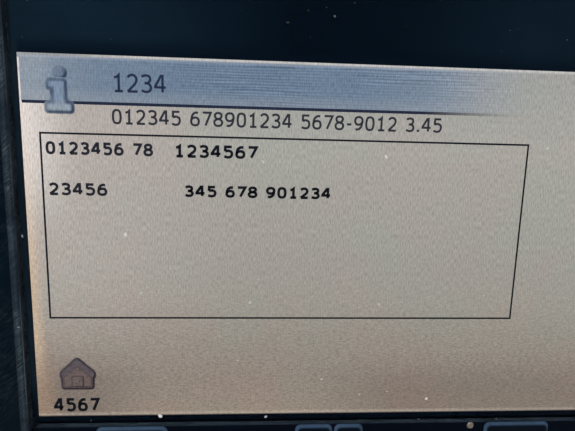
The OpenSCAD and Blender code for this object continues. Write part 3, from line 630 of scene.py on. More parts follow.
def weave_of(f, u, v):
    """Shimmer of the panel's dots: faint upright lines, upright grain above and level grain below."""
    lean = f.product(f.math("MULTIPLY_ADD", u, -0.0035, 0.18), f.math("SUBTRACT", v, 45.0))
    wander = f.product(f.noise(7, 3, 0.6), 1.6)
    turns = f.math("ADD", f.math("MULTIPLY_ADD", u, 1.5, lean), wander)
    stripes = f.math("SINE", f.product(turns, 2 * math.pi))
    strength = f.varied(0.0, 0.045, 4, 2, 0.6)
    upright = f.math("SUBTRACT", f.noise(0.27, 1, 0.5, f.moved((1, 1, 4.6))), 0.5)
    grain = f.math("SUBTRACT", f.noise(0.34, 1, 0.5, f.moved((2.7, 1, 1))), 0.5)
    below = f.between(v, 45, 76)
    level = f.math("MULTIPLY_ADD", stripes, strength, 1.0)
    level = f.math("MULTIPLY_ADD", upright, f.math("MULTIPLY_ADD", below, -0.62, 0.90), level)
    level = f.math("MULTIPLY_ADD", grain, f.math("MULTIPLY_ADD", below, 0.83, 0.1), level)
    sockets = {0: f.noise(1.1, 2, 0.6, output=1), 1: (0.028, 0.028, 0.028), 2: (0.986, 0.986, 0.986)}
    tinted = f.add("ShaderNodeVectorMath", sockets, operation="MULTIPLY_ADD").outputs[0]
    return f.times(tinted, level)


def behind_glass(f, colour):
    """A layer behind the cover glass, with the glass's faint bluish reflection, which is cleaner there."""
    return f.set(
        Base_Color=colour, Specular_IOR_Level=0.085, Specular_Tint=(0.2, 0.55, 1.0), Roughness=0.02,
    )


def lit_surface(name, colour_of):
    """A part of the lit page, whose light is the weave times what colour_of makes of u and v in mm."""
    f = Finish(name)
    u, v = page_place(f)
    light = f.mix(1.0, colour_of(f, u, v), weave_of(f, u, v), "MULTIPLY")
    f.set(Emission_Color=light, Emission_Strength=1.0)
    return behind_glass(f, (0.004, 0.004, 0.005))


def laid_over(f, ground, u, v, tints):
    """A ground with tints laid over it in turn: each fades in over spans of u and v, up to its share."""
    for across, down, share, colour in tints:
        fades = [f.between(value, *span) for value, span in ((u, across), (v, down)) if span]
        ground = f.mix(f.product(share, *fades), ground, tone(*colour))
    return ground


def ground_colour(f, u, v):
    """The page's beige grey, paler above and at the left and browner below, with bright edges."""
    page = bpy.context.scene.cab_page
    low = page.height
    ground = f.ramp(f.math("DIVIDE", v, low), [
        (0.0, tone(162, 160, 157)), (0.2, tone(168, 165, 159)), (0.45, tone(161, 158, 152)),
        (0.66, tone(156, 151, 143)), (0.78, tone(148, 141, 132)), (0.88, tone(145, 134, 124)),
        (1.0, tone(149, 135, 122)),
    ])
    dusk = f.product(f.between(u, 34, 8), f.between(v, 70, 84))
    dusk = f.math("MAXIMUM", dusk, f.product(f.between(u, 66, 97), f.between(v, 72, 86, 0.0, 0.82)))
    ground = f.mix(dusk, ground, f.mix(1.0, ground, (0.73, 0.72, 0.73), "MULTIPLY"))
    ground = laid_over(f, ground, u, v, [((60, 0), (85, 45), 0.40, (198, 187, 181))])
    tint = f.between(f.noise(24, 3, 0.55), 0.35, 0.65)
    ground = f.mix(1.0, ground, f.mix(tint, (0.955, 0.985, 0.965), (1.0, 0.965, 0.955)), "MULTIPLY")
    ground = laid_over(f, ground, u, v, [((14, 0), (46, 22), 0.8, (224, 214, 209))])
    glow = f.product(f.between(u, 3.6, 0.0), f.between(v, 88, 68, 0.0, 0.95))
    ground = f.mix(glow, ground, f.mix(f.between(v, 10, 60), tone(226, 216, 208), tone(198, 175, 150)))
    return laid_over(f, ground, u, v, [
        ((7, 1), (62, 84), 0.34, (180, 146, 118)),
        ((6, 34), (0.9, 0.25), 0.6, (208, 205, 204)),
        (None, (low - 1.3, low - 0.5), 0.3, (206, 192, 178)),
        ((24, 6), (1.2, 0.9), 0.85, (138, 143, 149)),
        (None, (low - 0.4, low), 0.8, (40, 36, 34)),
    ])


def band_colour(f, u, v):
    """The header's blue grey with fine level lines, paler at the left and below, fading to the right."""
    page = bpy.context.scene.cab_page
    pale = f.ramp(f.math("DIVIDE", u, page.width), [
        (0.0, 0.78), (0.032, 0.72), (0.06, 0.34), (0.12, 0.1), (0.22, 0.04), (0.5, 0.0), (0.57, 0.07),
        (0.65, 0.32), (0.75, 0.66),
    ])
    hue = f.mix(pale, page.band, tone(150, 158, 168))
    wander = f.product(f.noise(3, 2, 0.6, f.moved((9, 1, 1))), 1.5)
    turns = f.math("ADD", f.product(v, 1.45), wander)
    lines = f.math("SINE", f.product(turns, 2 * math.pi))
    streaks = f.math("SUBTRACT", f.noise(0.5, 2, 0.6, f.moved((22, 1, 1))), 0.5)
    lines = f.math("MULTIPLY_ADD", streaks, 4.5, lines)
    patches = f.varied(0.06, 0.24, 5, 2, 0.6, f.moved((3.3, 1, 1)))
    strength = f.product(patches, f.between(u, 22, 52, 0.25, 1.0))
    hue = f.times(hue, f.math("MULTIPLY_ADD", lines, strength, 1.0))
    hue = f.mix(f.between(f.noise(26, 2), 0.35, 0.7, 0.0, 0.14), hue, tone(140, 150, 160))
    hue = laid_over(f, hue, u, v, [
        (None, (page.header * 0.6, page.header - 0.6), 0.28, (160, 162, 166)),
        (None, (1.3, 0.5), 0.4, (186, 190, 198)),
    ])
    return f.mix(f.between(u, 96, 128), hue, ground_colour(f, u, v))


def rule_colour(f, u, v):
    """The line under the header, fading out at the right."""
    line = f.cloudy(bpy.context.scene.cab_page.rule, 0.8, 1.3, 6, 2)
    return f.mix(f.between(u, 94, 124), line, ground_colour(f, u, v))


def plain_light(colour):
    """One colour of the page, slightly uneven."""
    return lambda f, u, v: f.cloudy(colour, 0.82, 1.22, 1.4, 2)


def clear_glass(name):
    """Clear cover glass, whose faint reflection is left to the layers behind it."""
    clear = (0.985, 0.992, 0.99)
    return Finish(name).set(Base_Color=clear, Transmission_Weight=1.0, IOR=1.0, Roughness=0.0)


def dark_print(name, colour):
    """Near-black print, cloudy, with painted bluish reflections above the page and a painted paler
    reflection in the strip at the page's left edge.
    """
    f = Finish(name)
    u, v = page_place(f)
    page = bpy.context.scene.cab_page
    stops = [(0.0, 1.0), (0.22, 0.8), (0.42, 0.0), (0.6, 0.1), (0.8, 0.7)]
    spread = f.ramp(f.math("DIVIDE", u, page.width), stops)
    # Painted reflection: bluer patches above the page, strongest at the left and again towards the right
    above = f.product(f.between(v, 1, -5), f.varied(0.7, 1.0, 20, 3), spread)
    body = f.cloudy(colour, 0.6, 1.5, 18, 3)
    # Painted reflection: a paler bluish strip at the page's left edge, fading out towards the bottom
    beside = f.product(f.between(u, 1, -1), f.between(v, 94, 78))
    body = f.mix(beside, body, f.mix(f.noise(9, 3), (0.0056, 0.0110, 0.0175), (0.0100, 0.0180, 0.0265)))
    return behind_glass(f, f.mix(above, body, (0.0046, 0.0122, 0.0206)))


def key_plastic(name, colour):
    """Dark satin key cap whose sloped rim has a paler bluish highlight painted on it."""
    f = Finish(name)
    # Painted highlight: the sloped rim is made paler and bluish as far as its rings say
    rim = f.product(f.attribute("rim"), f.varied(0.75, 1.0, 2.2, 3, 0.6))
    body = f.cloudy(colour, 0.7, 1.4, 5, 3)
    f.set(Base_Color=f.mix(rim, body, (0.052, 0.092, 0.160)), Specular_IOR_Level=0.06)
    f.set(Specular_Tint=(0.55, 0.8, 1.0), Roughness=f.varied(0.34, 0.48, 3, 3))
    return f.bumps(f.noise(0.3, 2), 0.012, 0.5)


def speck_dust(name):
    """Dust, as pale as each speck's mesh says."""
    f = Finish(name)
    dust = f.mix(f.noise(0.5, 2), (0.82, 0.80, 0.76), (0.97, 0.96, 0.93))
    return f.set(Base_Color=f.times(dust, f.attribute("pale")), Roughness=0.9, Specular_IOR_Level=0.1)


def two_tone(name, low, high, noise, relief=None, **values):
    """Two colours mixed by a noise, with relief from a finer noise where its depth is given too."""
    f = Finish(name)
    f.set(Base_Color=f.mix(f.noise(*noise), low, high), **values)
    if relief:
        f.bumps(f.noise(*relief[0]), relief[1], 0.5)
    return f.material


# Stage

# Fitted camera: its place in mm from the page's upper left corner, right, down and out of the page,
# and the directions of its right side and of its view, given in the same three axes
CAMERA_PLACE = (54.38, 14.46, 127.42)
CAMERA_RIGHT = (0.9974, -0.0272, 0.0662)
CAMERA_VIEW = (0.07, 0.1755, -0.982)


def world_direction(right, down, out):
    """A direction given by the page's axes, in the world."""
    return np.array([right, -out, -down])


def stand(name, data, place, axes):
    """Puts a camera or a lamp in the scene, at a place and with its own axes along the given ones."""
    obj = bpy.data.objects.new(name, data)
    bpy.context.scene.collection.objects.link(obj)
    turn = Matrix(np.stack(axes, 1).tolist()).to_4x4()
    obj.matrix_world = Matrix.Translation(np.asarray(place).tolist()) @ turn
    return obj


def make_camera(settings):
    """The camera that matches the photograph's view."""
    data = bpy.data.cameras.new("camera")
    data.lens = settings.focal
    data.sensor_width = 36
    data.clip_start = 0.002
    data.clip_end = 50
    view = unit(world_direction(*CAMERA_VIEW))
    right = world_direction(*CAMERA_RIGHT)
    right = unit(right - view * (right @ view))
    u, v, out = CAMERA_PLACE
    page = bpy.context.scene.cab_page
    place = from_face(u - page.width / 2, page.height / 2 - v, out + GLASS_BACK)
    bpy.context.scene.camera = stand("camera", data, place, (right, np.cross(right, view), -view))


def make_lamp(name, place, aim, size, power):
    """A soft square lamp that looks at a point."""
    data = bpy.data.lights.new(name, "AREA")
    data.energy = power
    data.size = size
    back = unit(np.array(place) - np.array(aim))
    side = unit(np.cross([0, 0, 1.0], back))
    stand(name, data, place, (side, np.cross(back, side), back))


def make_world(level):
    """White to the camera, to gloss and through glass, and a plain soft light on everything else."""
    world = bpy.data.worlds.new("room")
    bpy.context.scene.world = world
    world.use_nodes = True
    tree = world.node_tree
    sky = tree.nodes["Background"]
    path = tree.nodes.new("ShaderNodeLightPath")
    seen = path.outputs["Is Camera Ray"]
    for name in ("Is Glossy Ray", "Is Transmission Ray"):
        either = tree.nodes.new("ShaderNodeMath")
        either.operation = "MAXIMUM"
        tree.links.new(seen, either.inputs[0])
        tree.links.new(path.outputs[name], either.inputs[1])
        seen = either.outputs[0]
    strength = tree.nodes.new("ShaderNodeMapRange")
    strength.inputs["To Min"].default_value = level
    strength.inputs["To Max"].default_value = 1.0
    tree.links.new(seen, strength.inputs["Value"])
    tree.links.new(strength.outputs[0], sky.inputs["Strength"])
    sky.inputs["Color"].default_value = (1, 1, 1, 1)


class CABDISPLAY_OT_stage(bpy.types.Operator):
    """Makes the floor, the lamps, the room's light and the camera"""

    bl_idname = "cabdisplay.stage"
    bl_label = "Make the stage"

    def execute(self, context):
        settings = context.scene.cab_stage
        context.scene.view_settings.view_transform = "Standard"
        reach = settings.floor
        points = [(-reach, -reach, 0), (reach, -reach, 0), (reach, reach, 0), (-reach, reach, 0)]
        floor = bpy.data.objects.new("floor", mesh_from("floor", points, [(0, 1, 2, 3)]))
        context.scene.collection.objects.link(floor)
        floor.data.materials.append(two_tone(
            "floor_paper", (0.80, 0.80, 0.80), (0.84, 0.84, 0.835), (60, 2), Roughness=0.9,
            Specular_IOR_Level=0.1,
        ))
        make_world(settings.level)
        make_lamp("key_lamp", (-0.55, -0.65, 0.85), (0, -0.05, 0.13), 0.6, settings.key_power)
        make_lamp("fill_lamp", (0.75, 0.45, 0.7), (0, -0.03, 0.13), 0.7, settings.fill_power)
        make_camera(settings)
        return {"FINISHED"}


# Lit page

# Plain digits in running order on the page: name, ink, digits, (left, base, right, top) and stroke in mm
LINES = [
    ("page_title", "title_ink", "1234", (21.1, 8.35, 34.1, 4.0), 0.58),
    ("page_subtitle", "soft_ink", "012345 678901234 5678-9012 3.45", (20.8, 15.8, 101.5, 12.2), 0.54),
    ("label_1", "page_ink", "0123456 78", (5.15, 23.25, 30.7, 20.15), 0.66),
    ("value_1", "dark_ink", "1234567", (35.3, 23.35, 55.9, 20.15), 0.68),
    ("label_2", "page_ink", "23456", (5.3, 33.1, 19.6, 30.0), 0.66),
    ("value_2", "dark_ink", "345 678 901234", (37.65, 33.0, 74.4, 30.05), 0.68),
    ("home_label", "dark_ink", "4567", (3.75, 90.15, 15.75, 86.3), 0.78),
]


class CABDISPLAY_OT_page(bpy.types.Operator):
    """Makes the lit page: its ground, header, box, digits and signs"""

    bl_idname = "cabdisplay.page"
    bl_label = "Make the lit page"

    def execute(self, context):
        page = context.scene.cab_page
        right, header = page.width, page.header
        sheets = [
            ("page_ground", ground_colour, box_outline(0, 0, right, page.height)),
            ("page_band", band_colour, box_outline(0.4, 0.55, right, header)),
            ("page_rule", rule_colour, box_outline(0.5, header - RULE_UP, right, header + RULE_DOWN)),
        ]
        for layer, (name, colour_of, outline) in enumerate(sheets, 1):
            page_sheet(name, outline, lit_surface(name, colour_of), layer)
        inks = {name: lit_surface(name, plain_light(colour)) for name, colour in (
            ("page_ink", page.ink), ("dark_ink", shade(page.ink, 0.25)),
            ("title_ink", tone(34, 43, 64)), ("soft_ink", tone(45, 45, 51)),
        )}
        box = box_outline(page.box_left, page.box_top, page.box_right, page.box_bottom)
        half = page.line / 2
        page_sheet("page_box", grown(box, half), inks["dark_ink"], 2, grown(box, -half))
        for name, ink, text, place, stroke in LINES:
            digits(name, text, place, stroke, inks[ink], lambda u, v: on_page(u, v, 4))
        make_letter_sign()
        make_house_sign()
        return {"FINISHED"}


def shaded_sign(name, outline, radius, rows, layer, finish, even=0.74):
    """A sign with soft edges: rings of the outline grown by rows' first numbers, the last one filled.

    The mesh keeps how dark and how solid each ring is, the rows' other numbers. The dark is deeper where
    the edge looks right and down, and a low even makes it fade on the other sides."""
    rings = [softened(grown(outline, grow), max(radius + grow, 0.05)) for grow, _, _ in rows]
    count = len(rings[0])
    facing = even + (1 - even) * np.clip(unit(rings[0] - rings[-1]) @ np.array([0.8, 0.6]), -1, 1)
    dark = np.concatenate([facing * deep for _, deep, _ in rows])
    solid = np.concatenate([np.full(count, cover) for _, _, cover in rows])
    last = count * (len(rings) - 1)
    faces = [*grid_faces(len(rings), count, False, True), range(last, last + count)]
    sign = flat_piece(name, on_page(*np.concatenate(rings).T, layer), faces, finish)
    shading = sign.data.attributes.new("shading", "FLOAT_VECTOR", "POINT")
    shading.data.foreach_set("vector", np.stack([dark, solid, solid * 0], -1).ravel())


def sign_light(fill, line, behind, foot=None):
    """A sign's colours, read from its mesh: the line where it is dark, and behind where it isn't solid.

    A foot is a second fill, which takes over below the header."""
    def colour_of(f, u, v):
        shading = f.add("ShaderNodeAttribute", attribute_name="shading").outputs["Vector"]
        split = f.add("ShaderNodeSeparateXYZ", {0: shading})
        inside = f.cloudy(fill, 0.9, 1.12, 1.6, 2)
        if foot:
            header = bpy.context.scene.cab_page.header
            inside = f.mix(f.between(v, header - 1, header + 1.4), inside, foot)
        return f.mix(split.outputs[1], behind(f, u, v), f.mix(split.outputs[0], inside, line))
    return colour_of


def behind_letter(f, u, v):
    """What lies behind the letter sign: the band, the rule under it and the ground."""
    header, soft = bpy.context.scene.cab_page.header, 0.02
    start, end = header - RULE_UP, header + RULE_DOWN
    upper = f.mix(f.between(v, start - soft, start + soft), band_colour(f, u, v), rule_colour(f, u, v))
    return f.mix(f.between(v, end - soft, end + soft), upper, ground_colour(f, u, v))


def make_letter_sign():
    """The letter i as a solid sign: a stem with a lobed foot and a shoulder, and a ball above it."""
    line = tone(38, 52, 76)
    light = sign_light(tone(122, 139, 160), line, behind_letter, tone(146, 158, 170))
    ball_light = sign_light(tone(108, 121, 142), line, behind_letter)
    rows = [(0.5, 0.3, 0.0), (0.3, 0.85, 0.8), (0.05, 1, 1), (-0.24, 0.95, 1), (-0.5, 0.35, 1), (-0.8, 0, 1)]
    stem = [
        (6.4, 5.8), (10.7, 5.8), (10.7, 10.9), (12.2, 11.2), (12.2, 13.35), (5.95, 13.35), (5.95, 11.2),
        (7.5, 10.9), (7.4, 7.9), (6.4, 7.9),
    ]
    ball = oval(9.45, 4.3, 1.4, 1.3, 12)
    shaded_sign("letter_ball", ball, 0.5, rows, 5, lit_surface("letter_ball", ball_light), 0.4)
    shaded_sign("letter_stem", stem, 0.8, rows, 6, lit_surface("letter_stem", light))


def make_house_sign():
    """A small house: a roof over walls with a door and its knob, each with soft dark edges."""
    line, under, wall = tone(30, 24, 26), tone(72, 62, 62), tone(101, 87, 84)
    rows = [(0.36, 0.3, 0.0), (0.2, 0.9, 0.8), (0.0, 1, 1), (-0.22, 0.9, 1), (-0.4, 0.2, 1), (-0.6, 0, 1)]
    body = [
        (10.3, 75.0), (14.75, 79.1), (14.75, 80.3), (14.3, 80.8), (14.3, 83.7), (6.3, 83.7), (6.3, 80.8),
        (6.0, 80.3), (6.0, 79.1),
    ]
    walls = [(10.25, 77.4), (13.85, 80.6), (13.85, 83.25), (6.75, 83.25), (6.75, 80.6)]
    roof_light = sign_light(tone(87, 79, 83), line, ground_colour)
    wall_light = sign_light(wall, under, plain_light(under))
    door_light = sign_light(wall, tone(44, 35, 36), plain_light(wall))
    thin = [(0.16, 0.0, 0.0), (0.05, 0.9, 1), (-0.2, 0.85, 1), (-0.36, 0, 1)]
    shaded_sign("house_body", body, 0.75, rows, 5, lit_surface("house_roof", roof_light))
    shaded_sign("house_walls", walls, 0.2, thin, 6, lit_surface("house_wall", wall_light))
    door = box_outline(8.75, 80.1, 11.75, 83.2)
    shaded_sign("house_door", door, 0.2, thin, 7, lit_surface("house_door", door_light))
    knob = oval(10.75, 81.7, 0.22, 0.22, 8)
    page_sheet("house_knob", knob, lit_surface("house_line", plain_light(tone(62, 52, 53))), 8)


# Glass

# Larger specks seen on the glass and the lip: (right, down) in mm from the page's corner, width and how pale
SPECKS = [
    (23.7, 42.3, 1.25, 0.88), (87.4, 21.9, 1.30, 0.95), (57.1, 23.9, 1.05, 0.78), (128.3, 18.9, 1.00, 0.80),
    (27.2, 57.2, 1.00, 0.66), (54.4, 59.7, 1.15, 0.70), (87.8, 60.0, 0.90, 0.70), (73.6, 80.9, 0.80, 0.75),
    (100.8, 92.9, 0.80, 0.18), (31.3, 91.0, 1.40, 0.95), (46.8, 68.7, 0.65, 0.60), (59.0, 91.6, 0.95, 0.62),
    (56.4, 53.6, 0.75, 0.64), (34.5, 50.9, 0.75, 0.66), (62.3, -8.7, 0.90, 0.05), (73.2, -10.5, 0.85, 0.17),
    (66.9, -11.5, 0.80, 0.03), (115.6, 57.6, 0.65, 0.62), (51.4, 75.5, 0.60, 0.62), (60.6, 65.5, 0.45, 0.50),
    (13.6, 92.1, 0.60, 0.15), (128.8, 21.8, 0.60, 0.70), (-2.7, 66.0, 0.75, 0.30), (-0.8, 43.0, 0.80, 0.40),
    (102.4, 86.8, 0.95, 0.85), (84.1, 85.4, 0.65, 0.75), (91.4, 84.6, 0.55, 0.58), (122.6, 93.0, 0.50, 0.25),
]


class CABDISPLAY_OT_glass(bpy.types.Operator):
    """Makes the cover glass, the dark print behind it and the dust on it"""

    bl_idname = "cabdisplay.glass"
    bl_label = "Make the glass"

    def execute(self, context):
        page = context.scene.cab_page
        colours = context.scene.cab_finish
        dress(["cover_glass"], clear_glass("cover_glass"))
        dress(["screen_module"], plated("module_can", (0.45, 0.45, 0.44), 0.4))
        w, h = page.width / 2, page.height / 2
        clear, clear_top, margin = 0.5, 1.75, 0.2
        edge_low, edge_high = GLASS_LOW[2] - PAGE_Z + margin, GLASS_HIGH[2] - PAGE_Z - margin
        middle, half = (clear_top - clear) / 2, (2 * h + clear_top + clear) / 2
        rings = rounded_rings(
            [GLASS_HIGH[0] - LAYER, w + clear], [(edge_high - edge_low) / 2, half], [2.0, 0.5],
            [(edge_high + edge_low) / 2, middle], [GLASS_BACK + 3 * LAYER] * 2,
        )
        band = grid_faces(2, rings.shape[1], False, True)
        flat_piece("glass_print", rings, band, dark_print("glass_print", colours.print))
        rings = rounded_rings(
            [w + clear + 0.4, w], [half + margin, h], [0.5, 0.01], [middle, 0], [GLASS_BACK + LAYER] * 2,
        )
        border = dark_print("cell_border", shade(colours.print, 1.6))
        flat_piece("cell_border", rings, band, border)
        make_dust(context.scene.cab_stage.specks)
        return {"FINISHED"}


def make_dust(count):
    """Flat irregular flecks: each is seven points at a radius that wavers round its middle."""
    rng = np.random.default_rng(7)
    page = bpy.context.scene.cab_page
    sides, beside, above, below = 7, 2, 18, 1.5
    spots = np.array(SPECKS)
    u = np.concatenate([spots[:, 0], rng.uniform(-beside, page.width + beside, count)])
    v = np.concatenate([spots[:, 1], rng.uniform(-above, page.height + below, count)])
    size = np.concatenate([spots[:, 2], 0.07 + 0.16 * rng.random(count) ** 3])
    pale = np.concatenate([spots[:, 3], rng.uniform(0.2, 0.8, count)])
    turn = rng.uniform(0, 2 * np.pi, len(u))[:, None]
    t = np.arange(sides) * 2 * np.pi / sides
    radius = size[:, None] / 2 * rng.uniform(0.55, 1.15, (len(u), sides))
    long_way = radius * np.cos(t)
    short_way = radius * np.sin(t) * rng.uniform(0.5, 1.0, (len(u), 1))
    x = u[:, None] - page.width / 2 + long_way * np.cos(turn) - short_way * np.sin(turn)
    y = page.height / 2 - v[:, None] + long_way * np.sin(turn) + short_way * np.cos(turn)
    height = np.where(u < -beside, LIP_RISE, -GLASS_SINK) + LAYER
    faces = np.arange(x.size).reshape(-1, sides)
    flecks = flat_piece("glass_dust", from_face(x, y, height[:, None]), faces, speck_dust("dust"))
    keep_at_points(flecks.data, "pale", np.repeat(pale, sides))


# Front frame


class CABDISPLAY_OT_front(bpy.types.Operator):
    """Makes the moulded front frame with its raised lip"""

    bl_idname = "cabdisplay.front"
    bl_label = "Make the front frame"

    def execute(self, context):
        finish = glossy_frame("frame_black", context.scene.cab_finish.frame)
        gap, lip, corner, pocket_corner, edge, wall = 0.15, 2.2, 15.0, 2.4, 4.0, 3.0
        rim, front_wall, bevel = 0.85, -4.4, 0.3
        foot, foot_rise, shoulder, brow = 0.3, 0.25, 0.35, 0.3
        depth = FACE_Y - BEZEL_HIGH[1]
        out_w = BEZEL_HIGH[0]
        out_h = (BEZEL_HIGH[2] - BEZEL_LOW[2]) / 2
        out_y = (BEZEL_HIGH[2] + BEZEL_LOW[2]) / 2 - PAGE_Z
        pocket_w = GLASS_HIGH[0] + gap
        pocket_h = (GLASS_HIGH[2] - MAT_LOW[2]) / 2 + gap
        pocket_y = (GLASS_HIGH[2] + MAT_LOW[2]) / 2 - PAGE_Z
        rows = []

        def outer(inset, z):
            rows.append((out_w - inset, out_h - inset, corner - inset, out_y, z, 0, 0))

        # Each inner ring also keeps two numbers for the finish: how strongly a paler sheen is painted on it,
        # and how strongly a glint is painted along the lip's brow
        def inner(outset, z, wear_and_sheen, edge_glint=0):
            size = (pocket_w + outset, pocket_h + outset, pocket_corner + outset)
            rows.append((*size, pocket_y, z, wear_and_sheen, edge_glint))

        def angles(last, count):
            return np.radians(np.linspace(0, last, count))

        # The outside from the back to the face, then the lip: foot, shoulder, top, brow and inner wall
        outer(bevel, depth)
        outer(0, depth + bevel)
        for a in angles(90, 10):
            outer(edge * (1 - np.cos(a)), edge * (np.sin(a) - 1))
        inner(lip + 1.2, 0, 0.0)
        for a in angles(90, 5):
            inner(lip + foot * (1 - np.sin(a)), foot_rise * (1 - np.cos(a)), 0.2 * np.sin(a))
        for a in angles(90, 7):
            z = LIP_RISE - shoulder + shoulder * np.sin(a)
            inner(lip - shoulder * (1 - np.cos(a)), z, 0.15 + 0.4 * np.sin(a))
        for outset, wear_and_sheen in ((1.5, 0.85), (1.1, 1.1), (0.6, 0.5)):
            inner(outset, LIP_RISE, wear_and_sheen)
        for a in angles(70, 5):
            z = LIP_RISE - brow * (1 - np.cos(a))
            inner(brow + 0.1 - brow * np.sin(a), z, 0.5, 1.3 * a * (2.4 - 2 * a))
        inner(0.04, -GLASS_SINK + 0.1, 0.6)
        for z in (-GLASS_SINK - 0.1, GLASS_BACK):
            inner(0, z, 0.5)
        page = context.scene.cab_page
        for z in (GLASS_BACK, front_wall):
            rows.append((page.width / 2 + rim, page.height / 2 + rim, 0.5, 0, z, 0, 0))
        for z in (front_wall, depth):
            outer(wall, z)
        *rings, wear_and_sheen, edge_glint = np.array(rows).T
        ringed_piece(
            "front_frame", rounded_rings(*rings, steps=14), finish, "display", "front_bezel",
            {"wear_and_sheen": wear_and_sheen, "edge_glint": edge_glint}, close_rows=True,
        )
        return {"FINISHED"}


# Keys

KEYS = [("key_1", "1"), ("key_minus", "-"), ("key_plus", "+"), ("key_2", "2")]


def key_cap(node, mark, finish, paint):
    """A key cap: rounded rings that slope in from the mat, round over and dip into a shallow dish."""
    low, high = corners(node)
    half_w, half_h = (high[0] - low[0]) / 2, (high[2] - low[2]) / 2
    x, y = (high[0] + low[0]) / 2, (high[2] + low[2]) / 2 - PAGE_Z
    top = FACE_Y - low[1]
    base = FACE_Y - high[1]
    dish = 1.6
    # Rings from the mat to the middle: how far in, how far below the top, how strongly the sloped rim's
    # painted highlight shows, and share of the dish
    inset, under, rim, share = np.array([
        (0, top - base, 0.2, 1), (0, 0.8, 0.3, 1), (0.05, 0.72, 1, 1), (0.5, 0.3, 1, 1),
        (0.64, 0.18, 0.45, 1), (0.85, 0.06, 0.05, 1), (1.2, 0, 0, 1), (dish, 0.03, 0, 1),
        (0, 0.07, 0, 0.6), (0, 0.10, 0, 0.25), (0, 0.11, 0, 1e-3),
    ]).T
    w = np.where(share < 1, (half_w - dish) * share, half_w - inset)
    h = np.where(share < 1, (half_h - dish) * share, half_h - inset)
    r = np.where(share < 1, 0.9 * share, np.maximum(1.5 - inset * 0.5, 0.7))
    points = rounded_rings(w, h, r, np.full(len(w), y), top - under, steps=6)
    points[..., 0] += x * MM
    ringed_piece(node + "_cap", points, finish, "display", node, {"rim": rim}, sharp=50)
    tall = {"-": 0.4, "+": 1.1}.get(mark, 1.7)
    wide = 1.1 if mark in "-+" else 1.15
    digits(
        node + "_mark", mark, (x - wide, y - tall, x + wide, y + tall), 0.5, paint,
        lambda px, py: from_face(px, py, top - 0.03),
    )


class CABDISPLAY_OT_keys(bpy.types.Operator):
    """Makes the key caps with plain marks, the mat and the status lamp"""

    bl_idname = "cabdisplay.keys"
    bl_label = "Make the keys"

    def execute(self, context):
        colours = context.scene.cab_finish
        finish = key_plastic("key_plastic", colours.key)
        grey = (0.42, 0.44, 0.46)
        paint = two_tone("key_paint", shade(grey, 0.7), shade(grey, 1.1), (1.2, 3, 0.7), Roughness=0.55)
        for node, mark in KEYS:
            key_cap(node, mark, finish, paint)
        dress(["key_mat"], mat_rubber("mat_rubber", colours.mat))
        dress(["status_lamp"], two_tone(
            "lamp_lens", (0.12, 0.10, 0.075), (0.20, 0.16, 0.12), (0.8, 2), Roughness=0.2,
            Coat_Weight=0.6, Coat_Roughness=0.05,
        ))
        return {"FINISHED"}


# Housing, connectors and service port


class CABDISPLAY_OT_housing(bpy.types.Operator):
    """Finishes the cast housing, its seal, screws and vent"""

    bl_idname = "cabdisplay.housing"
    bl_label = "Finish the housing"

    def execute(self, context):
        colours = context.scene.cab_finish
        dress(["rear_housing"], powder_coat("housing_coat", colours.housing, 0.35, 0.5))
        dress(["housing_seal", "door_gasket"], rubbery("seal_rubber", colours.rubber))
        steel = plated("zinc_steel", colours.steel, 0.32)
        dress(["housing_screws", "plate_screws", "door_pin"], steel)
        dress(["vent_plug", "port_door"], moulded("housing_plastic", colours.moulding, 0.5))
        return {"FINISHED"}


def thread_profile(radius, pitch, depth, heights, turns=64):
    """Radii of a thread: radius less depth times a rounded triangle wave of (height / pitch - turn)."""
    t = np.arange(turns) / turns
    phase = heights[:, None] / pitch - t[None, :]
    wave = np.abs(2 * (phase - np.floor(phase + 0.5)))
    fade = np.clip(np.minimum(heights - heights[0], heights[-1] - heights) / pitch, 0, 1)[:, None]
    return radius - depth * fade * (1 - wave ** 1.5)


def socket_piece(node, finish):
    """A round socket: a thick flange, a threaded barrel with a chamfered mouth, a bore and its floor."""
    low, high = corners(node)
    x, z = (low[0] + high[0]) / 2, (low[2] + high[2]) / 2
    flange_r, flange_t, barrel_r, bore_r = (high[0] - low[0]) / 2, 2.0, 6.0, 4.4
    total = high[1] - low[1]
    heights = np.linspace(flange_t + 0.5, total - 0.4, 60)
    thread = thread_profile(barrel_r, 1.0, 0.45, heights)
    ring = np.ones(thread.shape[1])
    below = [0, flange_r, flange_r, flange_r - 0.3, barrel_r + 0.25, barrel_r - 0.1]
    above = [barrel_r - 0.5, bore_r + 0.3, bore_r, bore_r, 0]
    radius = np.concatenate([np.outer(below, ring), thread, np.outer(above, ring)])
    levels = np.concatenate([
        [0, 0, flange_t - 0.3, flange_t, flange_t, flange_t + 0.3], heights,
        [total, total, total - 0.3, flange_t, flange_t],
    ])
    points = spun((x, low[1], z), (0, 1, 0), radius, levels[:, None])
    ringed_piece(node + "_turned", points, finish, "display", node)


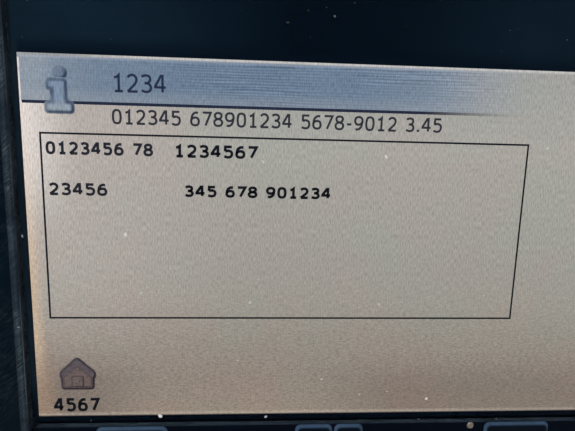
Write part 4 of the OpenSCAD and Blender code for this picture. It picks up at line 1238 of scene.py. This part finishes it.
def cap_piece(node, finish):
    """The rubber cap: a wall whose radius drops in flutes that follow cos, and a domed end with a dimple."""
    low, high = corners(node)
    x, z = (low[0] + high[0]) / 2, (low[2] + high[2]) / 2
    radius, total = (high[0] - low[0]) / 2, high[1] - low[1]
    flutes, steps, deep = 18, 216, 0.7
    t = np.arange(steps) * 2 * np.pi / steps
    flute = np.clip(np.cos(flutes * t) * 2.2 - 0.9, 0, 1)
    table = np.array([
        (0, 0, 0), (0.86, 0, 0), (1.0, 0.02, 0), (1.0, 0.14, 0), (1.0, 0.18, 0.5), (1.0, 0.22, 1),
        (1.0, 0.84, 1), (0.97, 0.93, 1), (0.9, 0.985, 0.5), (0.8, 1.0, 0), (0.5, 1.0, 0), (0.42, 0.97, 0),
        (0, 0.97, 0),
    ])
    rows = radius * table[:, :1] - deep * table[:, 2:] * flute
    points = spun((x, low[1], z), (0, 1, 0), rows, table[:, 1:2] * total)
    ringed_piece(node + "_fluted", points, finish, "display", node)


class CABDISPLAY_OT_connectors(bpy.types.Operator):
    """Makes the threaded sockets and the cap, and finishes the header, the stud and the service socket"""

    bl_idname = "cabdisplay.connectors"
    bl_label = "Make the connectors"

    def execute(self, context):
        colours = context.scene.cab_finish
        nickel = plated("nickel_plate", colours.nickel, 0.26)
        for node in ("socket_left", "socket_middle", "socket_right"):
            socket_piece(node, nickel)
        cap_piece("dust_cap", rubbery("cap_rubber", colours.rubber))
        dress(["service_socket"], nickel)
        dress(["header_contacts", "socket_contacts"], plated("gold_plate", colours.gold, 0.2, 0.1))
        dress(["main_header"], moulded("header_plastic", colours.moulding, 0.42, 0.3))
        dress(["ground_stud"], plated("stud_steel", colours.steel, 0.3))
        return {"FINISHED"}


# Bracket


def knob_piece(node, lobes, size, neck, finish):
    """A hand knob along X: rows of lobed rings, radius = size * (1 - valley * |sin(lobes t / 2)|^1.6)."""
    low, high = corners(node)
    y, z = (low[1] + high[1]) / 2, (low[2] + high[2]) / 2
    head = high[0] - low[0] - neck
    count = lobes * 24
    t = np.arange(count) * 2 * np.pi / count
    valley = np.abs(np.sin(lobes * t / 2)) ** 1.6
    table = np.array([
        (0.0, 0.0, 0), (0.0, 0.46, 0), (0.04, 0.5, 0), (0.8, 0.5, 0), (0.93, 0.53, 0), (1.0, 0.60, 0.02),
        (1.0, 0.90, 0.20), (1.04, 0.95, 0.23), (1.12, 0.985, 0.24), (1.30, 1.0, 0.24), (1.60, 0.995, 0.24),
        (1.72, 0.975, 0.24), (1.82, 0.93, 0.23), (1.90, 0.87, 0.21), (1.95, 0.80, 0.17), (1.98, 0.72, 0.12),
        (2.0, 0.62, 0.05), (2.0, 0.44, 0.0), (1.985, 0.40, 0), (1.95, 0.375, 0), (1.93, 0.34, 0),
        (1.93, 0.0, 0),
    ])
    level = np.where(table[:, 0] <= 1, table[:, 0] * neck, neck + (table[:, 0] - 1) * head)
    rows = size * table[:, 1:2] * (1 - table[:, 2:] * valley)
    points = spun((low[0], y, z), (1, 0, 0), rows, level[:, None])
    ringed_piece(node + "_moulded", points, finish, "arm", node, sharp=50)


class CABDISPLAY_OT_bracket(bpy.types.Operator):
    """Makes the hand knobs and finishes the base, the arm and the tilt hinge"""

    bl_idname = "cabdisplay.bracket"
    bl_label = "Make the bracket"

    def execute(self, context):
        colours = context.scene.cab_finish
        casting = powder_coat("casting_coat", colours.casting, 0.5, 0.7)
        dress(["base_flange", "swivel_arm", "tilt_bracket"], casting)
        knob = moulded("knob_plastic", colours.moulding, 0.42, 0.3)
        knob_piece("tilt_knob", 7, 19.0, 5.0, knob)
        knob_piece("clamp_knob", 5, 11.0, 4.0, knob)
        dress(["tilt_bolt", "tilt_washers", "clamp_screw"], plated("bolt_steel", colours.steel, 0.3))
        dress(["friction_discs"], two_tone(
            "friction_fibre", (0.16, 0.11, 0.06), (0.38, 0.29, 0.18), (0.8, 4, 0.7), ((0.4, 2), 0.05),
            Roughness=0.85,
        ))
        return {"FINISHED"}


class CABDISPLAY_PT_panel(bpy.types.Panel):
    """Lists the steps and their settings"""

    bl_label = "Cab display"
    bl_idname = "CABDISPLAY_PT_panel"
    bl_space_type = "VIEW_3D"
    bl_region_type = "UI"
    bl_category = "Cab display"

    def draw(self, context):
        layout = self.layout
        for step in STEPS:
            layout.operator(step.bl_idname)
        for group, kind in GROUPS.items():
            column = layout.column()
            for name in kind.__annotations__:
                column.prop(getattr(context.scene, group), name)


STEPS = (
    CABDISPLAY_OT_stage,
    CABDISPLAY_OT_page,
    CABDISPLAY_OT_glass,
    CABDISPLAY_OT_front,
    CABDISPLAY_OT_keys,
    CABDISPLAY_OT_housing,
    CABDISPLAY_OT_connectors,
    CABDISPLAY_OT_bracket,
)
GROUPS = {
    "cab_page": CABDISPLAY_PG_page,
    "cab_finish": CABDISPLAY_PG_finish,
    "cab_stage": CABDISPLAY_PG_stage,
}


def register():
    """Registers the settings, the steps and the panel."""
    for name, group in GROUPS.items():
        bpy.utils.register_class(group)
        setattr(bpy.types.Scene, name, PointerProperty(type=group))
    for step in (*STEPS, CABDISPLAY_PT_panel):
        bpy.utils.register_class(step)


def unregister():
    """Takes the panel, the steps and the settings out again."""
    for step in reversed((*STEPS, CABDISPLAY_PT_panel)):
        bpy.utils.unregister_class(step)
    for name, group in GROUPS.items():
        delattr(bpy.types.Scene, name)
        bpy.utils.unregister_class(group)


def main():
    """Runs every step in order."""
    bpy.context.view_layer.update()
    register()
    for step in STEPS:
        group, name = step.bl_idname.split(".")
        getattr(getattr(bpy.ops, group), name)()


if __name__ == "__main__":
    main()
